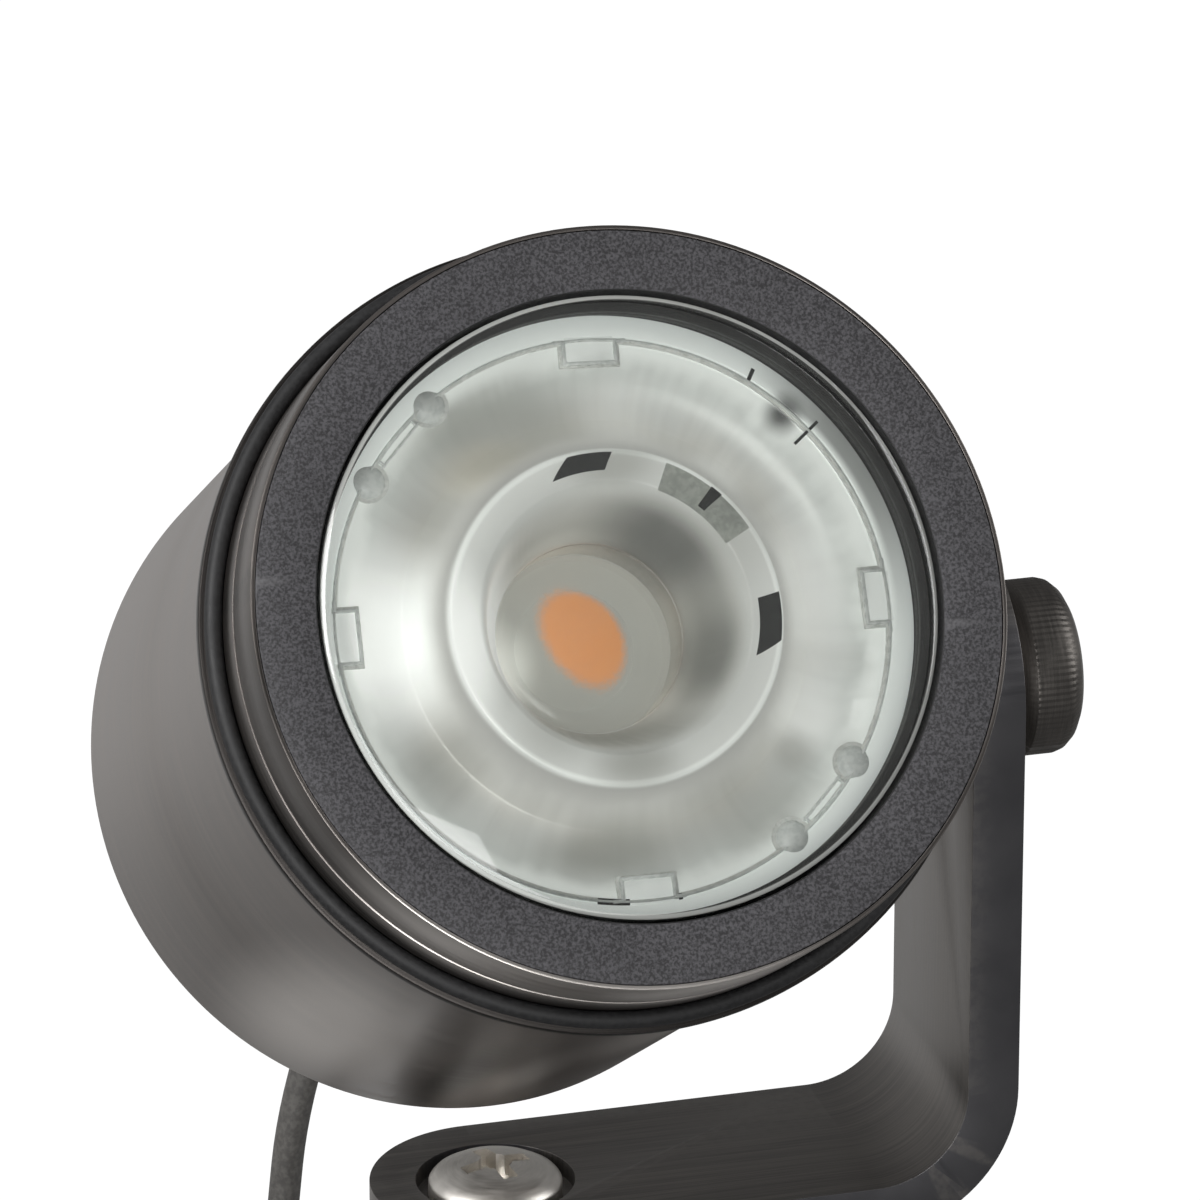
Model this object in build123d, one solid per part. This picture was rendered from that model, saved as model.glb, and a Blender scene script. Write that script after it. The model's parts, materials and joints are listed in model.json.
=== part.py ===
from build123d import *
import math
import os

os.makedirs("parts", exist_ok=True)

# Millimetres. The stake stands on the Z axis and the ground is at Z = 0. The light faces -Y.

# Shared clearances
SLIP = 0.05          # radial clearance of a shaft that turns
SEAT = 0.02          # radial clearance of a threaded or pressed piece
CLEAR = 0.3          # room between a soft piece and what it lies on

# Stake
SPIKE_DEPTH = 165.0
FIN_REACH = 22.0
FIN_THICKNESS = 3.0
FIN_SHOULDER = 34.0
CORE_RADIUS = 5.5
COLLAR_RADIUS = 14.0
COLLAR_HEIGHT = 8.0
COLLAR_SEAT = 1.0      # the collar's top sits this far up in the flange
FLANGE_RADIUS = 38.0
FLANGE_THICKNESS = 3.0
NECK_RADIUS = 11.0
NECK_WALL = 1.5
SPIGOT_HEIGHT = 22.0
GRUB_RADIUS = 2.0
GRUB_LENGTH = 4.0
GRUB_HEIGHT = 12.0
CAP_RADIUS = 12.5
CAP_THICKNESS = 3.5
CAP_PLUG = 16.0
INSERT_RADIUS = 6.0
BASE_WASHER_THICKNESS = 0.5

# Bracket, a flat bar with one bend
BAR_WIDTH = 30.0
BAR_THICKNESS = 6.3
BEND_INNER = 11.0
PLATE_Z = 60.0
ARM_X = 54.05
PIVOT_RISE = 58.7
COUNTERBORE_RADIUS = 9.5
COUNTERBORE_DEPTH = 2.3

# Base screw, M8 pan head with a cross recess
SCREW_RADIUS = 4.0
SCREW_LENGTH = 21.0
SCREW_HEAD_RADIUS = 8.0
SCREW_HEAD_HEIGHT = 4.6
RECESS_SPAN = 8.4
RECESS_WIDTH = 1.9
RECESS_DEPTH = 2.6

# Head. Depths are measured back from the front face, and the pivot crosses the head's axis.
HEAD_X = -1.7
HEAD_TILT = 32.0
HEAD_LENGTH = 99.5
PIVOT_DEPTH = 77.7
RING_RADIUS = 42.0
COLLAR_DEPTH = 15.9
COLLAR_RIM = 0.5
COLLAR_STEP = 2.0
GROOVE_DEPTH = 9.8
GROOVE_WIDTH = 0.7
GROOVE_CUT = 0.4
NECK_THREAD_RADIUS = 39.6
FACE_BACK = 8.8
GLASS_RADIUS = 34.3
GLASS_THICKNESS = 4.0
GLASS_BEVEL = 1.0
GLASS_GAP = 0.45
GASKET_THICKNESS = 1.0
SHELF_RADIUS = 33.3
SHELF_THICKNESS = 1.4
FACE_BORE = 34.0
HOUSING_RADIUS = 42.2
LIP_RADIUS = 44.4
LIP_FRONT = 17.55
LIP_THICKNESS = 1.55
SEAL_SECTION = 1.0
SEAL_DEPTH = 16.5
FRONT_BORE = 37.5
REAR_BORE = 34.5
REAR_WALL = 4.5
SINK_DEPTH = 30.0
SINK_THICKNESS = 6.0
FIN_HEIGHT = 14.0
FIN_PITCH = 5.0
FIN_WALL = 1.5
FIN_CIRCLE = 27.5
SINK_SCREW_CIRCLE = 35.6
M2_RADIUS = 1.0
M2_HEAD_RADIUS = 1.8
M2_HEAD_HEIGHT = 1.4
M2_GRIP = 8.0

# Lens
LENS_RADIUS = 33.9
LENS_FRONT = 8.9
LENS_RIM = 1.5
LENS_FACE_DROP = 0.7
LENS_RING_OUTER = 18.5
LENS_RING_INNER = 14.9
LENS_RING_FRONT = 7.3
WELL_RADIUS = 13.5
WELL_TOP = 10.3
DOME_RADIUS = 10.7
DOME_EDGE = 20.3
DOME_RISE = 1.2
CONE_TOP_RADIUS = 31.0
CONE_END_RADIUS = 8.0
CONE_END = 27.0
LED_POCKET_RADIUS = 6.6
LED_POCKET_TOP = 23.0
NOTCH_INNER = 28.4
NOTCH_OUTER = 30.8
NOTCH_WIDTH = 6.1
NOTCH_CUT = 1.0
HOLDER_STEP = 33.5
HOLDER_STEP_DEPTH = 2.0

# Light source and driver
BOARD_SIDE = 24.0
BOARD_THICKNESS = 1.2
BOARD_SCREW_PLACE = 9.0
PHOSPHOR_RADIUS = 5.5
PHOSPHOR_THICKNESS = 0.4
PILLAR_RADIUS = 2.5
PILLAR_CIRCLE = 30.5
PILLAR_LENGTH = 20.0
DRIVER_RADIUS = 33.8
DRIVER_THICKNESS = 1.6
WIRE_RADIUS = 0.7
WIRE_PLACE = 4.0
CORE_PLACE = 1.0
CABLE_STRIP_DEPTH = 84.0

# Pivot
BOSS_RADIUS = 10.0
FRICTION_WASHER = 0.5
STUD_RADIUS = 4.0
PAD_RADIUS = 9.0
PAD_THICKNESS = 7.0
KNOB_WASHER_RADIUS = 8.5
KNOB_WASHER_THICKNESS = 0.5
KNOB_RADIUS = 10.6
KNOB_LENGTH = 9.0
KNOB_CHAMFER_LENGTH = 2.8
KNOB_CHAMFER = 2.2
KNOB_ROUND = 2.5
KNOB_WALL = 1.5

# Cable gland at the rear
GLAND_THREAD = 6.0
GLAND_SEAL_RADIUS = 8.2
GLAND_SEAL_THICKNESS = 0.8
GLAND_HEX = 16.0
GLAND_HEX_LENGTH = 4.0
GLAND_COLLET = 5.2
GLAND_COLLET_LENGTH = 6.0
GLAND_NUT_HEX = 14.0
GLAND_NUT_LENGTH = 8.0
GLAND_NUT_CONE = 3.5
BOOT_LENGTH = 8.7
BOOT_START_RADIUS = 4.2
BOOT_END_RADIUS = 2.9

# Cable, its put-away coil round the neck and its plug
CABLE_RADIUS = 2.0
CABLE_GLAND_ROOM = 0.05
COIL_MIDDLE = 23.0
COIL_TURNS_ACROSS = 3
COIL_TURNS_HIGH = 3
TIE_THICKNESS = 1.2
TIE_ARC = 20.0
TIE_ANGLES = (0.0, 110.0)
PLUG_BOOT_LENGTH = 9.0
PLUG_BOOT_RADIUS = 3.0
PLUG_RADIUS = 6.0
PLUG_LENGTH = 16.0
PLUG_NOSE_RADIUS = 4.5
PLUG_NOSE_LENGTH = 9.0
CONTACT_RADIUS = 0.8
CONTACT_PLACE = 1.9
CONTACT_LENGTH = 7.0

# Sizes that follow
PLATE_TOP = PLATE_Z + BAR_THICKNESS
PIVOT_Z = PLATE_TOP + PIVOT_RISE
ARM_OUTER_X = ARM_X + BAR_THICKNESS
KNOB_X = ARM_OUTER_X + KNOB_WASHER_THICKNESS + SLIP
STUD_END_X = KNOB_X + KNOB_LENGTH - KNOB_WALL - CLEAR
BOSS_END_X = ARM_X - FRICTION_WASHER
SINK_BACK = SINK_DEPTH + SINK_THICKNESS
DRIVER_DEPTH = SINK_BACK + PILLAR_LENGTH
DRIVER_BACK = DRIVER_DEPTH + DRIVER_THICKNESS
REAR_FACE = HEAD_LENGTH
GLAND_HEX_FRONT = REAR_FACE + GLAND_SEAL_THICKNESS
GLAND_HEX_BACK = GLAND_HEX_FRONT + GLAND_HEX_LENGTH
GLAND_NUT_BACK = GLAND_HEX_BACK + GLAND_NUT_LENGTH
BOOT_FRONT = GLAND_NUT_BACK + GLAND_NUT_CONE
BOOT_BACK = BOOT_FRONT + BOOT_LENGTH
CABLE = 2 * CABLE_RADIUS
COIL_HALF_WIDTH = COIL_TURNS_ACROSS * CABLE_RADIUS
COIL_BOTTOM = FLANGE_THICKNESS + CLEAR + TIE_THICKNESS
COIL_OUTER = COIL_MIDDLE + COIL_HALF_WIDTH
COIL_TOP = COIL_BOTTOM + COIL_TURNS_HIGH * CABLE
PLUG_Y = -20.0
PLUG_X = 2.2
PLUG_Z = COIL_TOP + CLEAR + PLUG_RADIUS

HEAD_PLACE = Pos(HEAD_X, 0, PIVOT_Z) * Rot(90 - HEAD_TILT, 0, 0)
BASE = (Align.CENTER, Align.CENTER, Align.MIN)


def behind_head(depth):
    """A place on the head's axis at a depth behind the front face, with the head at rest."""
    return (HEAD_PLACE * Pos(0, 0, PIVOT_DEPTH - depth)).position


# The hanging lead from the gland to the coil, and the tail from the coil to the plug, chosen by hand
LEAD_OUT = behind_head(BOOT_BACK + 14)
LEAD_ROUTE = [
    behind_head(BOOT_BACK),
    LEAD_OUT,
    LEAD_OUT + Vector(-1.9, 5.8, -13.3),
    Vector(-6.4, 58.6, 64.5),
    Vector(-10.9, 58.6, 49.0),
    Vector(-12.0, 60.0, 35.0),
    Vector(-14.0, 57.0, 22.0),
    Vector(-17.5, 48.5, 12.0),
    Vector(-22.0, 35.0, COIL_BOTTOM + CABLE_RADIUS + 0.9),
    Vector(3.3 - COIL_OUTER, 18.2, COIL_BOTTOM + CABLE_RADIUS),
]
LEAD_SPLIT = 6
TAIL_ROUTE = [
    Vector(-19.6, -4.3, COIL_TOP + CLEAR + CABLE_RADIUS + 0.1),
    Vector(-18.5, -8.4, PLUG_Z - 3.0),
    Vector(-14.8, -13.9, PLUG_Z - 1.6),
    Vector(-9.6, -17.9, PLUG_Z - 0.4),
    Vector(-3.3, PLUG_Y, PLUG_Z),
    Vector(PLUG_X, PLUG_Y, PLUG_Z),
]


def disc(radius, bottom, top, bore=0.0):
    """A disc or tube about the Z axis between two heights."""
    body = Pos(0, 0, bottom) * Cylinder(radius, top - bottom, align=BASE)
    if bore:
        body -= Pos(0, 0, bottom - 1) * Cylinder(bore, top - bottom + 2, align=BASE)
    return body


def turned(radius, front, back, bore=0.0):
    """A disc or tube about the head's axis between two depths behind the front face."""
    return disc(radius, PIVOT_DEPTH - back, PIVOT_DEPTH - front, bore)


def spun(*points):
    """A solid spun about the head's axis from (radius, depth) points."""
    outline = [(radius, PIVOT_DEPTH - depth) for radius, depth in points]
    return revolve(Plane.XZ * make_face(Polyline(*outline, close=True)), Axis.Z)


def axle(radius, start, end, bore=0.0):
    """A cylinder or tube along the tilt axis between two places on X."""
    return Pos(start, 0, PIVOT_Z) * Rot(0, 90, 0) * disc(radius, 0, end - start, bore)


def polar(radius, angle):
    """A place on a circle about the Z axis."""
    return Pos(radius * math.cos(math.radians(angle)), radius * math.sin(math.radians(angle)), 0)


def ringed(shape, radius, angles):
    """Copies of a shape at places on a circle."""
    return [polar(radius, angle) * shape for angle in angles]


def corner_radii(points):
    """As large an arc at each corner as its two runs allow."""
    radii = []
    for before, corner, after in zip(points, points[1:], points[2:]):
        run_in = corner - before
        run_out = after - corner
        half_turn = math.radians(run_in.get_angle(run_out)) / 2
        radii.append(0.45 * min(run_in.length, run_out.length) / math.tan(half_turn))
    return radii


def cable_tube(points, radii):
    """A length of cable along straight runs joined by arcs."""
    path = FilletPolyline(*points, radius=radii)
    profile = Plane(origin=path @ 0, z_dir=path % 0) * Circle(CABLE_RADIUS)
    tube = sweep(profile, path=path)
    expected = math.pi * CABLE_RADIUS**2 * path.length
    print("cable run", round(path.length, 1), "volume ratio", round(tube.volume / expected, 4),
          "radii", [round(radius, 1) for radius in radii])
    return tube


# Stake

def spike():
    reach = FIN_REACH
    outline = [(-reach, -COLLAR_HEIGHT), (reach, -COLLAR_HEIGHT), (reach, -FIN_SHOULDER),
               (1, -SPIKE_DEPTH), (-1, -SPIKE_DEPTH), (-reach, -FIN_SHOULDER)]
    fin = extrude(Plane.XZ * make_face(Polyline(*outline, close=True)), FIN_THICKNESS / 2, both=True)
    core = Pos(0, 0, -SPIKE_DEPTH) * Cone(1.2, CORE_RADIUS, SPIKE_DEPTH - 1, align=BASE)
    spigot = disc(NECK_RADIUS - NECK_WALL - SLIP, 0, SPIGOT_HEIGHT)
    body = fin + Rot(0, 0, 90) * fin + core + disc(COLLAR_RADIUS, -COLLAR_HEIGHT, COLLAR_SEAT) + spigot
    return body - grub_screws(SLIP)


def grub_screws(room=0.0):
    screw = Rot(0, 90, 0) * Cylinder(GRUB_RADIUS + room, GRUB_LENGTH + 2 * room, align=BASE)
    screw = Pos(NECK_RADIUS - GRUB_LENGTH - room, 0, GRUB_HEIGHT) * screw
    return [Rot(0, 0, angle) * screw for angle in (45, 135, 225, 315)]


def ground_flange():
    plate = disc(FLANGE_RADIUS, 0, FLANGE_THICKNESS, NECK_RADIUS - NECK_WALL)
    rim = plate.edges().filter_by(GeomType.CIRCLE).sort_by(Axis.Z)[-2:].sort_by(SortBy.RADIUS)[-1]
    return fillet(rim, FLANGE_THICKNESS / 3) - disc(COLLAR_RADIUS + SLIP, -1, COLLAR_SEAT)


def neck_tube():
    tube = disc(NECK_RADIUS, FLANGE_THICKNESS, PLATE_Z - BASE_WASHER_THICKNESS - CAP_THICKNESS,
                NECK_RADIUS - NECK_WALL)
    return tube - grub_screws(SLIP)


def stake_cap():
    top = PLATE_Z - BASE_WASHER_THICKNESS
    head = disc(CAP_RADIUS, top - CAP_THICKNESS, top)
    plug = disc(NECK_RADIUS - NECK_WALL - SEAT, top - CAP_THICKNESS - CAP_PLUG, top - CAP_THICKNESS)
    return head + plug - disc(INSERT_RADIUS + SEAT, 0, top + 1)


def threaded_insert():
    top = PLATE_Z - BASE_WASHER_THICKNESS
    return disc(INSERT_RADIUS, top - CAP_THICKNESS - CAP_PLUG, top, SCREW_RADIUS + SEAT)


def base_washer():
    return disc(CAP_RADIUS, PLATE_Z - BASE_WASHER_THICKNESS, PLATE_Z, SCREW_RADIUS + SLIP)


def base_screw():
    seat = PLATE_TOP - COUNTERBORE_DEPTH
    rim = seat + SCREW_HEAD_HEIGHT / 2
    top = seat + SCREW_HEAD_HEIGHT
    outline = Polyline((0, top), (0, seat - SCREW_LENGTH), (SCREW_RADIUS, seat - SCREW_LENGTH),
                       (SCREW_RADIUS, seat), (SCREW_HEAD_RADIUS, seat), (SCREW_HEAD_RADIUS, rim))
    crown = ThreePointArc((SCREW_HEAD_RADIUS, rim), (0.68 * SCREW_HEAD_RADIUS, top - 0.75), (0, top))
    screw = revolve(Plane.XZ * make_face(outline + crown), Axis.Z)
    slot = Pos(0, 0, top - RECESS_DEPTH) * Box(RECESS_SPAN, RECESS_WIDTH, 2 * RECESS_DEPTH, align=BASE)
    return screw - slot - Rot(0, 0, 90) * slot


# Bracket

def bracket():
    half = BAR_WIDTH / 2
    top = PIVOT_Z + half
    outline = [(-half, PLATE_Z), (ARM_OUTER_X, PLATE_Z), (ARM_OUTER_X, top),
               (ARM_X, top), (ARM_X, PLATE_TOP), (-half, PLATE_TOP)]
    section = make_face(Polyline(*outline, close=True))
    corners = section.vertices().sort_by_distance((ARM_OUTER_X, PLATE_Z, 0))
    section = fillet(corners[0], BEND_INNER + BAR_THICKNESS)
    corners = section.vertices().sort_by_distance((ARM_X, PLATE_TOP, 0))
    section = fillet(corners[0], BEND_INNER)
    bar = extrude(Plane.XZ * section, half, both=True)
    plan = disc(half, 0, top + 1) + Pos(ARM_OUTER_X / 2, 0, 0) * Box(ARM_OUTER_X, BAR_WIDTH, top + 1,
                                                                      align=BASE)
    side = axle(half, -BAR_WIDTH, ARM_OUTER_X) + Pos(ARM_OUTER_X / 2 - half, 0, 0) * Box(
        ARM_OUTER_X + BAR_WIDTH, BAR_WIDTH, PIVOT_Z, align=BASE)
    body = (bar & plan) & side
    body -= disc(SCREW_RADIUS + SLIP, 0, PLATE_TOP + 1)
    body -= disc(COUNTERBORE_RADIUS, PLATE_TOP - COUNTERBORE_DEPTH, PLATE_TOP + 1)
    return body - axle(STUD_RADIUS + SLIP, ARM_X - 1, ARM_OUTER_X + 1)


def knob_washer():
    return axle(KNOB_WASHER_RADIUS, ARM_OUTER_X, ARM_OUTER_X + KNOB_WASHER_THICKNESS,
                STUD_RADIUS + SLIP)


# Head shells

def front_collar():
    inner = NECK_THREAD_RADIUS + SLIP
    body = turned(RING_RADIUS, 0, COLLAR_DEPTH, inner)
    body -= turned(RING_RADIUS - COLLAR_RIM, -1, COLLAR_STEP)
    groove = turned(RING_RADIUS + 1, GROOVE_DEPTH, GROOVE_DEPTH + GROOVE_WIDTH, RING_RADIUS - GROOVE_CUT)
    return body - groove


def face_ring():
    recess = GLASS_RADIUS + GLASS_GAP
    shelf = GLASS_THICKNESS + GASKET_THICKNESS
    body = turned(RING_RADIUS - COLLAR_RIM - SLIP, 0, COLLAR_STEP)
    body += turned(NECK_THREAD_RADIUS, COLLAR_STEP, FACE_BACK)
    body -= turned(recess, -1, shelf)
    body -= turned(SHELF_RADIUS, 0, shelf + SHELF_THICKNESS)
    return body - turned(FACE_BORE, shelf + SHELF_THICKNESS, HEAD_LENGTH)


def glass():
    edge = GLASS_RADIUS - GLASS_BEVEL
    return spun((0, 0), (edge, 0), (GLASS_RADIUS, GLASS_BEVEL / 2), (GLASS_RADIUS, GLASS_THICKNESS),
                (0, GLASS_THICKNESS))


def glass_gasket():
    return turned(GLASS_RADIUS, GLASS_THICKNESS, GLASS_THICKNESS + GASKET_THICKNESS,
                  SHELF_RADIUS)


def collar_seal():
    ring = Torus(HOUSING_RADIUS - CLEAR + SLIP + SEAL_SECTION, SEAL_SECTION)
    return Pos(0, 0, PIVOT_DEPTH - SEAL_DEPTH) * ring


def housing():
    lip_back = LIP_FRONT + LIP_THICKNESS
    neck_front = FACE_BACK + 0.2
    body = turned(NECK_THREAD_RADIUS, neck_front, LIP_FRONT)
    body += turned(HOUSING_RADIUS - CLEAR, COLLAR_DEPTH + 0.1, LIP_FRONT)
    body += turned(LIP_RADIUS, LIP_FRONT, lip_back)
    body += turned(HOUSING_RADIUS, lip_back, REAR_FACE)
    body -= turned(FRONT_BORE, 0, SINK_BACK)
    body -= turned(REAR_BORE, SINK_DEPTH, REAR_FACE - REAR_WALL)
    body -= turned(GLAND_THREAD + SEAT, REAR_FACE - REAR_WALL - 1, REAR_FACE + 1)
    body -= ringed(turned(M2_RADIUS + SLIP, SINK_DEPTH, SINK_BACK + M2_GRIP + 1),
                   SINK_SCREW_CIRCLE, (45, 135, 225, 315))
    rear = body.edges().filter_by(GeomType.CIRCLE).sort_by(Axis.Z)[:4].sort_by(SortBy.RADIUS)[-1]
    body = HEAD_PLACE * chamfer(rear, 0.8)
    return body - axle(STUD_RADIUS + SLIP, HEAD_X + REAR_BORE - 2, HEAD_X + HOUSING_RADIUS + 2)


# Optics

def lens():
    rim_back = LENS_FRONT + LENS_RIM
    body = spun((0, DOME_EDGE - DOME_RISE), (DOME_RADIUS / 2, DOME_EDGE - 0.75 * DOME_RISE),
                (DOME_RADIUS, DOME_EDGE), (WELL_RADIUS, WELL_TOP), (LENS_RING_INNER, WELL_TOP),
                (LENS_RING_INNER, LENS_RING_FRONT), (LENS_RING_OUTER, LENS_RING_FRONT),
                (LENS_RING_OUTER, LENS_FRONT + LENS_FACE_DROP), (NOTCH_INNER - 1, LENS_FRONT),
                (LENS_RADIUS, LENS_FRONT), (LENS_RADIUS, rim_back), (CONE_TOP_RADIUS, rim_back),
                (CONE_END_RADIUS, CONE_END), (LED_POCKET_RADIUS, CONE_END),
                (LED_POCKET_RADIUS, LED_POCKET_TOP + 1), (0, LED_POCKET_TOP))
    length = NOTCH_OUTER - NOTCH_INNER
    notch = Pos(0, 0, PIVOT_DEPTH - LENS_FRONT - NOTCH_CUT) * Box(length, NOTCH_WIDTH, 2 * NOTCH_CUT,
                                                                 align=BASE)
    middle = NOTCH_INNER + length / 2
    return body - [Rot(0, 0, angle) * Pos(middle, 0, 0) * notch for angle in (0, 90, 180, 270)]


def lens_holder():
    rim_back = LENS_FRONT + LENS_RIM
    step = SINK_DEPTH - HOLDER_STEP_DEPTH
    body = turned(FRONT_BORE - 0.1, FACE_BACK + 0.4, step, LENS_RADIUS + CLEAR)
    body += turned(LENS_RADIUS + CLEAR, rim_back, step, CONE_TOP_RADIUS + 0.5)
    return body + turned(HOLDER_STEP, step, SINK_DEPTH, CONE_TOP_RADIUS + 0.5)


def phosphor():
    back = SINK_DEPTH - BOARD_THICKNESS
    return turned(PHOSPHOR_RADIUS, back - PHOSPHOR_THICKNESS, back)


def led_board():
    board = Pos(0, 0, PIVOT_DEPTH - SINK_DEPTH) * Box(BOARD_SIDE, BOARD_SIDE, BOARD_THICKNESS, align=BASE)
    return board - board_screw_places(turned(M2_RADIUS + SLIP, 0, SINK_DEPTH + 1))


def board_screw_places(shape):
    place = BOARD_SCREW_PLACE
    return [Pos(place, place, 0) * shape, Pos(-place, -place, 0) * shape]


def m2_screw(seat, reach):
    """A small screw whose head sits on a depth and whose shank goes back from it."""
    return turned(M2_HEAD_RADIUS, seat - M2_HEAD_HEIGHT, seat) + turned(M2_RADIUS, seat, seat + reach)


def led_board_screws():
    return board_screw_places(m2_screw(SINK_DEPTH - BOARD_THICKNESS, BOARD_THICKNESS + 4))


def heat_sink():
    body = turned(FRONT_BORE - 0.2, SINK_DEPTH, SINK_BACK)
    count = int(FIN_CIRCLE / FIN_PITCH)
    for step in range(-count, count + 1):
        place = PIVOT_DEPTH - SINK_BACK - FIN_HEIGHT
        wall = Pos(0, step * FIN_PITCH, place) * Box(2 * FIN_CIRCLE, FIN_WALL, FIN_HEIGHT, align=BASE)
        body += wall & turned(FIN_CIRCLE, SINK_BACK, SINK_BACK + FIN_HEIGHT)
    body -= ringed(turned(M2_RADIUS + SLIP, SINK_DEPTH - 1, SINK_BACK + 1), SINK_SCREW_CIRCLE,
                   (45, 135, 225, 315))
    body -= board_screw_places(turned(M2_RADIUS + SLIP, SINK_DEPTH - 1, SINK_DEPTH + 5))
    return body - led_wire_pair(turned(WIRE_RADIUS + CLEAR, SINK_DEPTH - 1, SINK_BACK + 1))


def heat_sink_screws():
    screw = m2_screw(SINK_DEPTH, SINK_THICKNESS + M2_GRIP)
    return ringed(screw, SINK_SCREW_CIRCLE, (45, 135, 225, 315))


# Electronics

def led_wire_pair(shape):
    return [Pos(x, FIN_PITCH / 2, 0) * shape for x in (-WIRE_PLACE, WIRE_PLACE)]


def led_wires():
    return led_wire_pair(turned(WIRE_RADIUS, SINK_DEPTH, DRIVER_DEPTH))


def board_pillars():
    pillar = turned(PILLAR_RADIUS, SINK_BACK, DRIVER_DEPTH)
    pillar -= turned(M2_RADIUS + SEAT, DRIVER_DEPTH - M2_GRIP, DRIVER_DEPTH + 1)
    return ringed(pillar, PILLAR_CIRCLE, (90, 210, 330))


def driver_board():
    board = turned(DRIVER_RADIUS, DRIVER_DEPTH, DRIVER_BACK)
    return board - ringed(turned(M2_RADIUS + SLIP, 0, HEAD_LENGTH), PILLAR_CIRCLE, (90, 210, 330))


def driver_screws():
    head = turned(M2_HEAD_RADIUS, DRIVER_BACK, DRIVER_BACK + M2_HEAD_HEIGHT)
    shank = turned(M2_RADIUS, DRIVER_BACK - M2_GRIP, DRIVER_BACK)
    return ringed(head + shank, PILLAR_CIRCLE, (90, 210, 330))


def driver_parts():
    def block(x, y, width, length, height):
        return Pos(x, y, PIVOT_DEPTH - DRIVER_BACK - height) * Box(width, length, height, align=BASE)

    def can(x, y, radius, height):
        return Pos(x, y, 0) * turned(radius, DRIVER_BACK, DRIVER_BACK + height)

    return [block(-15, 3, 18, 16, 11), block(14, 0, 9, 6, 3), can(9, -14, 4, 12), can(9, 14, 4, 12),
            can(-6, -17, 6, 8), block(-4, 20, 7, 5, 4)]


def supply_wires():
    wire = turned(WIRE_RADIUS, DRIVER_BACK, CABLE_STRIP_DEPTH)
    return [Pos(x, 0, 0) * wire for x in (-CORE_PLACE, CORE_PLACE)]


def cable_inner():
    return turned(CABLE_RADIUS, CABLE_STRIP_DEPTH, BOOT_BACK)


# Cable gland

def hexagon(across, front, back):
    flat = Pos(0, 0, PIVOT_DEPTH - back) * RegularPolygon(across / 2, 6, major_radius=False)
    return extrude(flat, back - front)


def gland_body():
    body = turned(GLAND_THREAD, REAR_FACE - REAR_WALL - 1, GLAND_HEX_FRONT)
    body += hexagon(GLAND_HEX, GLAND_HEX_FRONT, GLAND_HEX_BACK)
    body += turned(GLAND_COLLET, GLAND_HEX_BACK, GLAND_HEX_BACK + GLAND_COLLET_LENGTH)
    return body - turned(CABLE_RADIUS + CABLE_GLAND_ROOM, 0, BOOT_BACK)


def gland_seal():
    return turned(GLAND_SEAL_RADIUS, REAR_FACE, GLAND_HEX_FRONT, GLAND_THREAD + SEAT)


def gland_nut():
    body = hexagon(GLAND_NUT_HEX, GLAND_HEX_BACK, GLAND_NUT_BACK)
    body += spun((0, GLAND_NUT_BACK), (GLAND_NUT_HEX / 2, GLAND_NUT_BACK),
                 (BOOT_START_RADIUS + 0.6, BOOT_FRONT), (0, BOOT_FRONT))
    body -= turned(GLAND_COLLET + SEAT, 0, GLAND_HEX_BACK + GLAND_COLLET_LENGTH + CLEAR)
    return body - turned(CABLE_RADIUS + CABLE_GLAND_ROOM, 0, BOOT_BACK)


def cable_boot():
    bore = CABLE_RADIUS + CABLE_GLAND_ROOM
    return spun((bore, BOOT_FRONT), (BOOT_START_RADIUS, BOOT_FRONT), (BOOT_END_RADIUS, BOOT_BACK),
                (bore, BOOT_BACK))


# Pivot

def pivot_boss():
    boss = axle(BOSS_RADIUS, HEAD_X + REAR_BORE, BOSS_END_X, STUD_RADIUS + SLIP)
    return boss - HEAD_PLACE * disc(HOUSING_RADIUS + SLIP, -HEAD_LENGTH, HEAD_LENGTH)


def friction_washer():
    return axle(BOSS_RADIUS, BOSS_END_X, ARM_X, STUD_RADIUS + SLIP)


def pivot_pad():
    start = HEAD_X + REAR_BORE - PAD_THICKNESS
    pad = axle(PAD_RADIUS, start, HEAD_X + REAR_BORE + 1, STUD_RADIUS + SEAT)
    return pad & HEAD_PLACE * disc(REAR_BORE - SLIP, -HEAD_LENGTH, HEAD_LENGTH)


def pivot_stud():
    return axle(STUD_RADIUS, HEAD_X + REAR_BORE - PAD_THICKNESS, STUD_END_X)


def knob():
    end = KNOB_X + KNOB_LENGTH
    small = KNOB_RADIUS - KNOB_CHAMFER
    outline = Polyline((KNOB_X, 0), (KNOB_X, small), (KNOB_X + KNOB_CHAMFER_LENGTH, KNOB_RADIUS),
                       (end - KNOB_ROUND, KNOB_RADIUS))
    corner = TangentArc((end - KNOB_ROUND, KNOB_RADIUS), (end, KNOB_RADIUS - KNOB_ROUND), tangent=(1, 0))
    close = Polyline((end, KNOB_RADIUS - KNOB_ROUND), (end, 0), (KNOB_X, 0))
    body = Pos(0, 0, PIVOT_Z) * revolve(make_face(outline + corner + close), Axis.X)
    return body - axle(INSERT_RADIUS + SEAT, KNOB_X - 1, end - KNOB_WALL)


def knob_insert():
    return axle(INSERT_RADIUS, KNOB_X, KNOB_X + KNOB_LENGTH - KNOB_WALL, STUD_RADIUS + SLIP)


# Cable outside the head

def split_lead():
    """The lead in two lengths that meet in the middle of one run, with the radii of each."""
    radii = corner_radii(LEAD_ROUTE)
    meeting = (LEAD_ROUTE[LEAD_SPLIT] + LEAD_ROUTE[LEAD_SPLIT + 1]) * 0.5
    upper = (LEAD_ROUTE[:LEAD_SPLIT + 1] + [meeting], radii[:LEAD_SPLIT])
    lower = ([meeting] + LEAD_ROUTE[LEAD_SPLIT + 1:], radii[LEAD_SPLIT:])
    return upper, lower


def cable_drop():
    return cable_tube(*split_lead()[0])


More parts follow.
